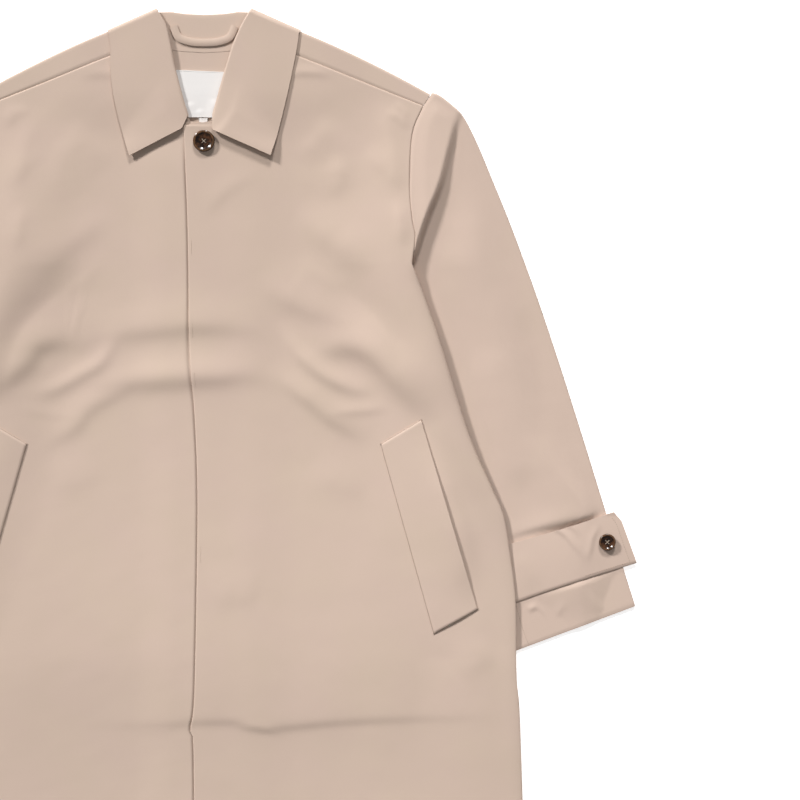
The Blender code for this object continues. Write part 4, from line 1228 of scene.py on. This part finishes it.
def collar_section(neck, roll, edge, corner):
    """Places across one section of the collar, how far each lies outside the stand, and its leaf share."""
    inwards = unit(unit(roll - neck) + unit(roll - edge))
    stand = even(STAND_STEPS)[:, None]
    turn = np.linspace(0.0, math.pi, COLLAR_TURN_STEPS + 1)[1:]
    leaf = even(LEAF_POINTS)[1:, None]
    radius = COLLAR_TURN / 2
    bend = spline([roll, roll + (corner - roll) * BEND_START, corner], BEND_STEPS)[1:-1]
    places = np.vstack([
        between(neck, roll, stand),
        roll + inwards * radius * np.sin(turn)[:, None],
        bend,
        between(corner, edge, leaf),
    ])
    over_leaf = np.concatenate([np.linspace(BEND_SHARE, 0.0, len(bend) + 1)[1:], leaf[:, 0]])
    offsets = np.concatenate([0 * stand[:, 0], radius * (1 - np.cos(turn)), COLLAR_TURN + 0 * over_leaf])
    share = np.concatenate([BEND_SHARE + 0 * stand[:, 0], BEND_SHARE + 0 * turn, over_leaf])
    return places, offsets, share


def collar_half(neck, roll, edge, corner, over):
    """Middle of half of the collar's wall, from the leaf's front edge to the middle of the back."""
    neck, roll, edge = (spline(line, COLLAR_STEPS) for line in (neck, roll, edge))
    leaf_start = between(roll, edge, LEAF_START_SHARE)
    front_lift_most = LEAF_FRONT_LIFT if over else RIGHT_LEAF_FRONT_LIFT
    rows = []
    for number in range(len(neck)):
        marks_on = number / COLLAR_STEPS
        at_front = max(0.0, 1.0 - marks_on)
        start = between(leaf_start[number], np.array(corner), at_front)
        places, offsets, share = collar_section(neck[number], roll[number], edge[number], start)
        settled = ease((len(COLLAR_NECK) - 1 - marks_on) / LEAF_SETTLES_OVER)
        open_share = (share - BEND_SHARE) / (1.0 - BEND_SHARE)
        loft = LEAF_LOFT * settled * np.sin(math.pi * open_share)
        lift = LEAF_EDGE_LIFT * settled * open_share**2
        near_front = 1 - ease(marks_on / (LEAF_CURL_ROWS - LEAF_CURL_LESS * open_share))
        front_curl = front_lift_most * settled * near_front * ease(open_share / LEAF_CURL_SHARE)
        height = front_level(places[:, 0], places[:, 1], over) + offsets + loft + lift + front_curl
        rows.append(np.column_stack([places, height]))
    places, offsets, _ = collar_section(neck[-1], roll[-1], edge[-1], leaf_start[-1])
    level = back_level(*np.array(SHOULDER_NECK))
    for turn in np.linspace(0.0, math.pi, COLLAR_TURN_STEPS + 1)[1:]:
        reach = FOLD_RADIUS + offsets
        place = places + shoulder_out * (reach * math.sin(turn))[:, None]
        rows.append(np.column_stack([place, level + FOLD_RADIUS + reach * math.cos(turn)]))
    back_lines = (spline(line, COLLAR_STEPS) for line in (BACK_NECK[::-1], BACK_ROLL, BACK_EDGE))
    for back_neck, back_roll, back_edge in zip(*back_lines):
        start = between(back_roll, back_edge, LEAF_START_SHARE)
        places, offsets, _ = collar_section(back_neck, back_roll, back_edge, start)
        rows.append(np.column_stack([places, level - offsets]))
    return np.array(rows)


left_lines = (COLLAR_NECK, COLLAR_ROLL, COLLAR_EDGE)
right_lines = (shifted(line, RIGHT_LEAF_SHIFT) for line in left_lines)
left_half = collar_half(*left_lines, LEAF_CORNER, over=True)
right_half = collar_half(*right_lines, RIGHT_LEAF_CORNER, over=False) * (-1, 1, 1)
collar_points = np.concatenate([left_half, right_half[-2::-1]])
collar_cut = np.stack([run_along(collar_points, 0), run_along(collar_points, 1)], axis=-1)
collar = add_shell("collar_cloth", collar_points, COLLAR_CLOTH, body_cloth, collar_cut)
declare(collar, "collar", collar_points)


# Pocket welts
# Straight bands of doubled twill, sewn to each front beside its slanted pocket opening.
# The outer edge stands a little open, and the other three edges are stitched down.

WELT = ((0.1947, 0.5291), (0.2387, 0.5555), (0.2530, 0.3212), (0.3003, 0.3476))
WELT_CLOTH = 0.0015
WELT_ROWS = 150
WELT_COLUMNS = 36
WELT_PILLOW = 0.0006
WELT_GAPE = 0.0022
WELT_GAPE_FROM = 0.1
WELT_GAPE_RUN = 0.4
WELT_GAPE_TO = 0.98
WELT_GAPE_END_RUN = 0.25
WELT_EDGE_ROLL = 0.0022
WELT_EDGE_DROP = 0.0011


def welt_points(surface, side):
    """Middle of a welt's wall."""
    places = quad_grid(WELT, WELT_ROWS, WELT_COLUMNS)
    lift = CLOTH / 2 + LAY_GAP + WELT_CLOTH / 2
    points = laid_on(surface, places * (side, 1), lift)
    down = even(WELT_ROWS)[:, None]
    over = even(WELT_COLUMNS)[None, :]
    opened = ease((down - WELT_GAPE_FROM) / WELT_GAPE_RUN)
    gape = WELT_GAPE * opened * ease((WELT_GAPE_TO - down) / WELT_GAPE_END_RUN) * over**3
    points[..., 2] += WELT_PILLOW * np.sin(math.pi * over) + gape
    to_ends = np.minimum(down, 1 - down) * np.linalg.norm(points[-1, 0] - points[0, 0])
    to_inner = over * np.linalg.norm(points[0, -1] - points[0, 0])
    points[..., 2] -= rolled_down(np.minimum(to_ends, to_inner), WELT_EDGE_ROLL, WELT_EDGE_DROP)
    return points


EDGE_STITCH = {"Pitch": 0.0019, "Length": 0.0022, "Thickness": 0.00075, "Wander": 0.00006}
# Very dark thread: real edge stitching round each welt, darkened to paint the shade that lies in its seams
painted_shade_edge_thread = thread_finish("painted_shade_edge_thread", (0.24, 0.175, 0.125, 1.0), (0.16, 0.115, 0.080, 1.0))
for side, surface, sign in (("left", left_surface, 1), ("right", right_surface, -1)):
    points = welt_points(surface, sign)
    welt = add_shell(f"welt_{side}_cloth", points, WELT_CLOTH, body_cloth)
    over_edge = np.array([0.0, 0.0, WELT_CLOTH / 2])
    rows = [points[0] + over_edge, points[-1] + over_edge, points[:, 0] + over_edge]
    # These stitches in the darkened thread paint the seam shade along the welt's three sewn edges
    sewn = add_stitches(f"welt_{side}_stitches", rows, EDGE_STITCH, painted_shade_edge_thread, seed=14)
    declare(welt, f"welt_{side}", points)


# Cuff tabs
# Bands of doubled twill that come from the underarm seam, lie across the sleeve and end beyond its
# edge, where a button holds them. Their free ends are stitched round, and are bare of any mark.

TAB = ((0.3200, 0.4150), (0.3266, 0.3490), (0.4510, 0.4543), (0.4763, 0.3982))
TAB_POINT = (0.4595, 0.4440)
TAB_POINT_SHARE = 0.2
TAB_CLOTH = 0.0015
TAB_ROWS = 40
TAB_COLUMNS = 90
TAB_CLEAR_OF_EDGE = 0.008
TAB_DROOP = 0.0006
TAB_DROOP_RUN = 0.010
TAB_RISE = 0.0002
TAB_PILLOW = 0.0006
TAB_EDGE_ROLL = 0.0035
TAB_EDGE_DROP = 0.0009
TAB_BOW = 0.0016
TAB_CREASES = (
    Fall(((370, 448), (384, 436), (396, 428), (406, 416), (420, 398)), 0.34, 2.0, 6),
    Fall(((382, 446), (392, 440), (404, 436), (414, 424)), 0.26, 1.8, 5),
    Fall(((422, 394), (426, 412), (430, 428), (440, 444)), 0.24, 2.0, 6),
    Fall(((338, 408), (352, 388), (356, 366)), 0.05, 6, 14),
)
TAB_END_ROW = 0.953
TAB_END_ROW_FROM = 0.10
TAB_LOW_ROW = 0.94
TAB_LOW_ROW_FROM = 0.62


def tab_points(creases):
    """Middle of a cuff tab's wall."""
    hidden_upper, hidden_lower, free_upper, free_lower = (np.array(corner) for corner in TAB)
    share = even(TAB_ROWS)[:, None]
    over = even(TAB_COLUMNS)[None, :, None]
    hidden_end = between(hidden_upper, hidden_lower, share)
    point = np.array(TAB_POINT)
    free_end = np.where(
        share < TAB_POINT_SHARE,
        between(free_upper, point, share / TAB_POINT_SHARE),
        between(point, free_lower, (share - TAB_POINT_SHARE) / (1 - TAB_POINT_SHARE)),
    )
    places = between(hidden_end[:, None], free_end[:, None], over)
    sag = unit(free_lower - free_upper)
    places = places + sag * TAB_BOW * np.sin(math.pi * over) * (1 - 2 * share[:, None])
    across, up = places[..., 0], places[..., 1]
    limit = across_at(SLEEVE_OUTER, up) - TAB_CLEAR_OF_EDGE
    past = np.maximum(0.0, across - limit)
    height = sleeve_base(np.minimum(across, limit), up) + LAY_GAP + TAB_CLOTH / 2
    height = height - TAB_DROOP * past / TAB_DROOP_RUN
    shown = ease((across - body_edge_at(up)) / CREASES_FROM_BODY)
    height = height + (TAB_RISE + relief(creases, across, up)) * shown
    pillow = TAB_PILLOW * np.sin(math.pi * share) * shown
    to_lower = (1 - share) * 2 * TAB_HALF_WIDTH
    height = height - rolled_down(to_lower, TAB_EDGE_ROLL, TAB_EDGE_DROP)
    return np.dstack([places, height + pillow])


tab_surfaces = {}
right_tab_creases = varied(TAB_CREASES, seed=4, shift=3.0)
for side, creases, sign in (("left", TAB_CREASES, 1), ("right", right_tab_creases, -1)):
    points = tab_points(creases) * (sign, 1, 1)
    tab = add_shell(f"cuff_tab_{side}_cloth", points, TAB_CLOTH, sleeve_cloth)
    tab_surfaces[side] = surface_of(points)
    end_column, low_row = round(TAB_END_ROW * TAB_COLUMNS), round(TAB_LOW_ROW * TAB_ROWS)
    down_end = points[round(TAB_END_ROW_FROM * TAB_ROWS):low_row, end_column]
    along_low = points[low_row, end_column:round(TAB_LOW_ROW_FROM * TAB_COLUMNS):-1]
    rows = [np.vstack([down_end, along_low]) + (0.0, 0.0, TAB_CLOTH / 2)]
    sewn = add_stitches(f"cuff_tab_{side}_stitches", rows, SEAM_STITCH, seam_thread, seed=15)
    declare(tab, f"cuff_tab_{side}", points)


# Buttons
# Turned from dark brown horn with a raised rim, a dished middle and four holes, and sewn on with
# cotton. One closes the neck, and one holds each cuff tab.

NECK_BUTTON = (0.0002, 0.8619)
NECK_BUTTON_RADIUS = 0.0120
CUFF_BUTTON = (0.4433, 0.4213)
CUFF_BUTTON_RADIUS = 0.0093
BUTTON_HEIGHT = 0.0040
BUTTON_STEPS = 56
BUTTON_FOOT_SHARE = 0.7
BUTTON_FOOT_STEPS = 24
BUTTON_HOLES = 4
BUTTON_HOLE_STEPS = 16
BUTTON_HOLE_RADIUS = 0.0010
BUTTON_HOLE_OFFSET = 0.0018
BUTTON_PROFILE_STEPS = 4
BUTTON_PROFILE = (
    (0.00, 0.60), (0.30, 0.60), (0.50, 0.63), (0.64, 0.74), (0.75, 0.92), (0.82, 0.99),
    (0.89, 1.00), (0.96, 0.90), (1.00, 0.66), (0.97, 0.40), (0.86, 0.14), (0.70, 0.02), (0.00, 0.00),
)
HORN_DARK = (0.012, 0.006, 0.004, 1.0)
HORN_BROWN = (0.085, 0.034, 0.014, 1.0)
# Paler horn colour, painted on the top of each button's rim as a highlight
HORN_HIGHLIGHT = (0.230, 0.120, 0.055, 1.0)
HORN_STREAKS = {"Scale": 160.0, "Detail": 4.0, "Distortion": 1.6}
HORN_RANGE = {"From Min": 0.42, "From Max": 0.66, "To Min": 0.0, "To Max": 1.0}
HORN_ROUGH = 0.14
STREAK_ROUGH = 0.12
HORN_COAT = {"Coat Weight": 0.4, "Coat Roughness": 0.08}
RIM_HIGHLIGHT_SHARE = 0.45
RIM_AT = 0.88
RIM_SPREAD = 0.07
RIM_ABOVE = 0.5


def horn_finish():
    """Polished horn: dark, with brown streaks, and a paler band painted on the top of its rim as a
    highlight.
    """
    material, tree, shader = new_finish("button_horn")
    place = Value.node(tree, "ShaderNodeTexCoord", {}, {}, output=3)
    streaks = Value.node(tree, "ShaderNodeTexNoise", {}, {"Vector": place, **HORN_STREAKS})
    ramp = Value.node(tree, "ShaderNodeMapRange", {}, {"Value": streaks, **HORN_RANGE})
    # The rim attribute carries a painted highlight: the top of the rim is made paler
    rim = Value.node(tree, "ShaderNodeAttribute", {"attribute_name": "rim"}, {}, output=2)
    colour = blended(blended(HORN_DARK, HORN_BROWN, ramp), HORN_HIGHLIGHT, rim * RIM_HIGHLIGHT_SHARE)
    feed(shader, {"Base Color": colour, "Roughness": HORN_ROUGH + streaks * STREAK_ROUGH, **HORN_COAT})
    return material


button_horn = horn_finish()
BUTTON_STITCH = {"Pitch": 0.0006, "Length": 0.0012, "Thickness": 0.00075, "Wander": 0.00006}
button_thread = thread_finish("button_thread", (0.52, 0.42, 0.33, 1.0), (0.36, 0.28, 0.21, 1.0))


def add_drill(name, place, seat):
    """Pins that stand where a button's holes are."""
    corners, faces = [], []
    for number in range(BUTTON_HOLES):
        angle = 2 * math.pi * (number + 0.5) / BUTTON_HOLES
        middle = np.array([math.cos(angle), math.sin(angle)]) * BUTTON_HOLE_OFFSET * math.sqrt(2)
        lower = range(len(corners), len(corners) + BUTTON_HOLE_STEPS)
        upper = range(lower.stop, lower.stop + BUTTON_HOLE_STEPS)
        for level in (-BUTTON_HEIGHT, 2 * BUTTON_HEIGHT):
            for step in range(BUTTON_HOLE_STEPS):
                turn = 2 * math.pi * step / BUTTON_HOLE_STEPS
                edge = middle + BUTTON_HOLE_RADIUS * np.array([math.cos(turn), math.sin(turn)])
                corners.append((place[0] + edge[0], place[1] + HEM_Y + edge[1], seat + level))
        for step in range(BUTTON_HOLE_STEPS):
            after = (step + 1) % BUTTON_HOLE_STEPS
            faces.append((lower[step], lower[after], upper[after], upper[step]))
        faces += [tuple(reversed(lower)), tuple(upper)]
    mesh = bpy.data.meshes.new(name)
    mesh.from_pydata(corners, [], faces)
    return add_object(name, mesh)


def add_button(name, place, radius, seat):
    """One button, its underside just over the cloth that it is sewn to."""
    profile = spline(BUTTON_PROFILE, BUTTON_PROFILE_STEPS)
    profile[:, 0] = np.clip(profile[:, 0], 0.0, 1.0)
    angles = np.linspace(0.0, 2 * math.pi, BUTTON_STEPS, endpoint=False)
    body = profile[1:-1]
    ring = np.stack([np.outer(body[:, 0], np.cos(angles)), np.outer(body[:, 0], np.sin(angles))], axis=-1)
    heights = np.repeat(body[:, 1:2], BUTTON_STEPS, axis=1)
    points = np.dstack([ring * radius, heights * BUTTON_HEIGHT]).reshape(-1, 3)
    count = len(points)
    last = count - BUTTON_STEPS
    points = np.vstack([points, (0, 0, profile[0, 1] * BUTTON_HEIGHT), (0, 0, 0)])
    points = points + (place[0], place[1] + HEM_Y, seat)
    faces = []
    for low in range(0, last, BUTTON_STEPS):
        high = low + BUTTON_STEPS
        for here in range(BUTTON_STEPS):
            after = (here + 1) % BUTTON_STEPS
            faces.append((low + here, high + here, high + after, low + after))
    for here in range(BUTTON_STEPS):
        after = (here + 1) % BUTTON_STEPS
        faces += [(count, here, after), (count + 1, last + after, last + here)]
    mesh = bpy.data.meshes.new(name)
    mesh.from_pydata(points.tolist(), [], faces)
    # Painted highlight: a paler band round the top of the rim, where light catches it
    painted_rim_highlight = np.exp(-((body[:, 0] - RIM_AT) / RIM_SPREAD) ** 2) * (body[:, 1] > RIM_ABOVE)
    painted_rim_highlight = np.append(np.repeat(painted_rim_highlight, BUTTON_STEPS), (0, 0))
    mesh.attributes.new("rim", "FLOAT", "POINT").data.foreach_set("value", painted_rim_highlight)
    mesh.materials.append(button_horn)
    piece = add_object(f"{name}_horn", mesh)
    drill = add_drill(f"{name}_drill", place, seat)
    holes = piece.modifiers.new("holes", "BOOLEAN")
    holes.operation = "DIFFERENCE"
    holes.solver = "EXACT"
    holes.object = drill
    made_plain(piece)
    bpy.data.objects.remove(drill, do_unlink=True)
    piece.data.set_sharp_from_angle(angle=SHARP_ANGLE)
    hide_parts(name)
    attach(piece, "root")
    middle = np.array([*place, seat + profile[0, 1] * BUTTON_HEIGHT])
    arm = np.array([BUTTON_HOLE_OFFSET, BUTTON_HOLE_OFFSET, 0.0])
    rows = [np.array([middle - run, middle + run]) for run in (arm, arm * (1, -1, 1))]
    add_stitches(f"{name}_thread", rows, BUTTON_STITCH, button_thread, seed=16)


def seat_on(surface, place, radius, lift):
    """The lowest height at which a flat button of this radius clears the cloth under it."""
    angles = np.linspace(0.0, 2 * math.pi, BUTTON_FOOT_STEPS, endpoint=False)
    foot = radius * BUTTON_FOOT_SHARE
    rim = [(place[0] + foot * math.cos(a), place[1] + foot * math.sin(a)) for a in angles]
    return max(height_on(surface, *spot) for spot in [place, *rim]) + lift


neck_seat = seat_on(left_surface, NECK_BUTTON, NECK_BUTTON_RADIUS, CLOTH / 2 + LAY_GAP)
add_button("button_neck", NECK_BUTTON, NECK_BUTTON_RADIUS, neck_seat)
for side, sign in (("left", 1), ("right", -1)):
    place = (sign * CUFF_BUTTON[0], CUFF_BUTTON[1])
    seat = seat_on(tab_surfaces[side], place, CUFF_BUTTON_RADIUS, TAB_CLOTH / 2 + LAY_GAP)
    add_button(f"button_cuff_{side}", place, CUFF_BUTTON_RADIUS, seat)


# Table, light and camera
# A white table under soft studio light, mostly from above the collar and to the left.
# The camera looks straight down at the coat's left half, as the photograph does.

TABLE_WHITE = (0.93, 0.93, 0.93, 1.0)
TABLE_PAINT = {
    "Base Color": TABLE_WHITE, "Roughness": 0.9, "Specular IOR Level": 0.1,
    "Emission Color": TABLE_WHITE, "Emission Strength": 0.65,
}
TABLE_SIZE = 40.0
TABLE_DEPTH = -0.0002
PHOTO_MIDDLE = (0.2156, 0.5775)
PHOTO_WIDTH = 0.88
PHOTO_LEVEL = 0.006
LENS = 85.0
SENSOR = 36.0

table_mesh = bpy.data.meshes.new("table")
half = TABLE_SIZE / 2
round_table = ((-half, -half), (half, -half), (half, half), (-half, half))
table_mesh.from_pydata([(*corner, TABLE_DEPTH) for corner in round_table], [], [(0, 1, 2, 3)])
table_paint, _, table_shader = new_finish("table_paint")
feed(table_shader, TABLE_PAINT)
table_mesh.materials.append(table_paint)
table = add_object("table", table_mesh)

LIGHT_DISTANCE = 3.0


def add_sun(name, left_of_top, height, softness, power):
    """A far soft box: how far it stands to the left of the collar's side, and over the table."""
    lamp = bpy.data.lights.new(name, "SUN")
    lamp.energy = power
    lamp.angle = math.radians(softness)
    holder = add_object(name, lamp)
    turn, rise = math.radians(left_of_top), math.radians(height)
    towards = Vector((-math.sin(turn) * math.cos(rise), math.cos(turn) * math.cos(rise), math.sin(rise)))
    holder.location = towards * LIGHT_DISTANCE
    holder.rotation_euler = towards.to_track_quat("Z", "Y").to_euler()


add_sun("left_box", left_of_top=46.0, height=29.0, softness=8.0, power=3.10)
add_sun("top_box", left_of_top=-5.0, height=30.0, softness=12.0, power=2.20)

OVERHEAD_PLACE = (0.30, -0.01, 0.90)
OVERHEAD_SIZE = 0.9
OVERHEAD_POWER = 1.75
overhead_lamp = bpy.data.lights.new("overhead_box", "AREA")
overhead_lamp.size = OVERHEAD_SIZE
overhead_lamp.energy = OVERHEAD_POWER
overhead = add_object("overhead_box", overhead_lamp)
overhead.location = OVERHEAD_PLACE
overhead.visible_camera = False
overhead.visible_glossy = False

ROOM_LIGHT = 0.125
sky = bpy.data.worlds.new("studio")
sky.use_nodes = True
feed(sky.node_tree.nodes["Background"], {"Color": (1.0, 1.0, 1.0, 1.0), "Strength": ROOM_LIGHT})
bpy.context.scene.world = sky
bpy.context.scene.view_settings.view_transform = "Standard"

lens = bpy.data.cameras.new("camera")
lens.lens = LENS
lens.sensor_width = SENSOR
camera = add_object("camera", lens)
camera.location = (PHOTO_MIDDLE[0], PHOTO_MIDDLE[1] + HEM_Y, PHOTO_LEVEL + PHOTO_WIDTH * LENS / SENSOR)
bpy.context.scene.camera = camera
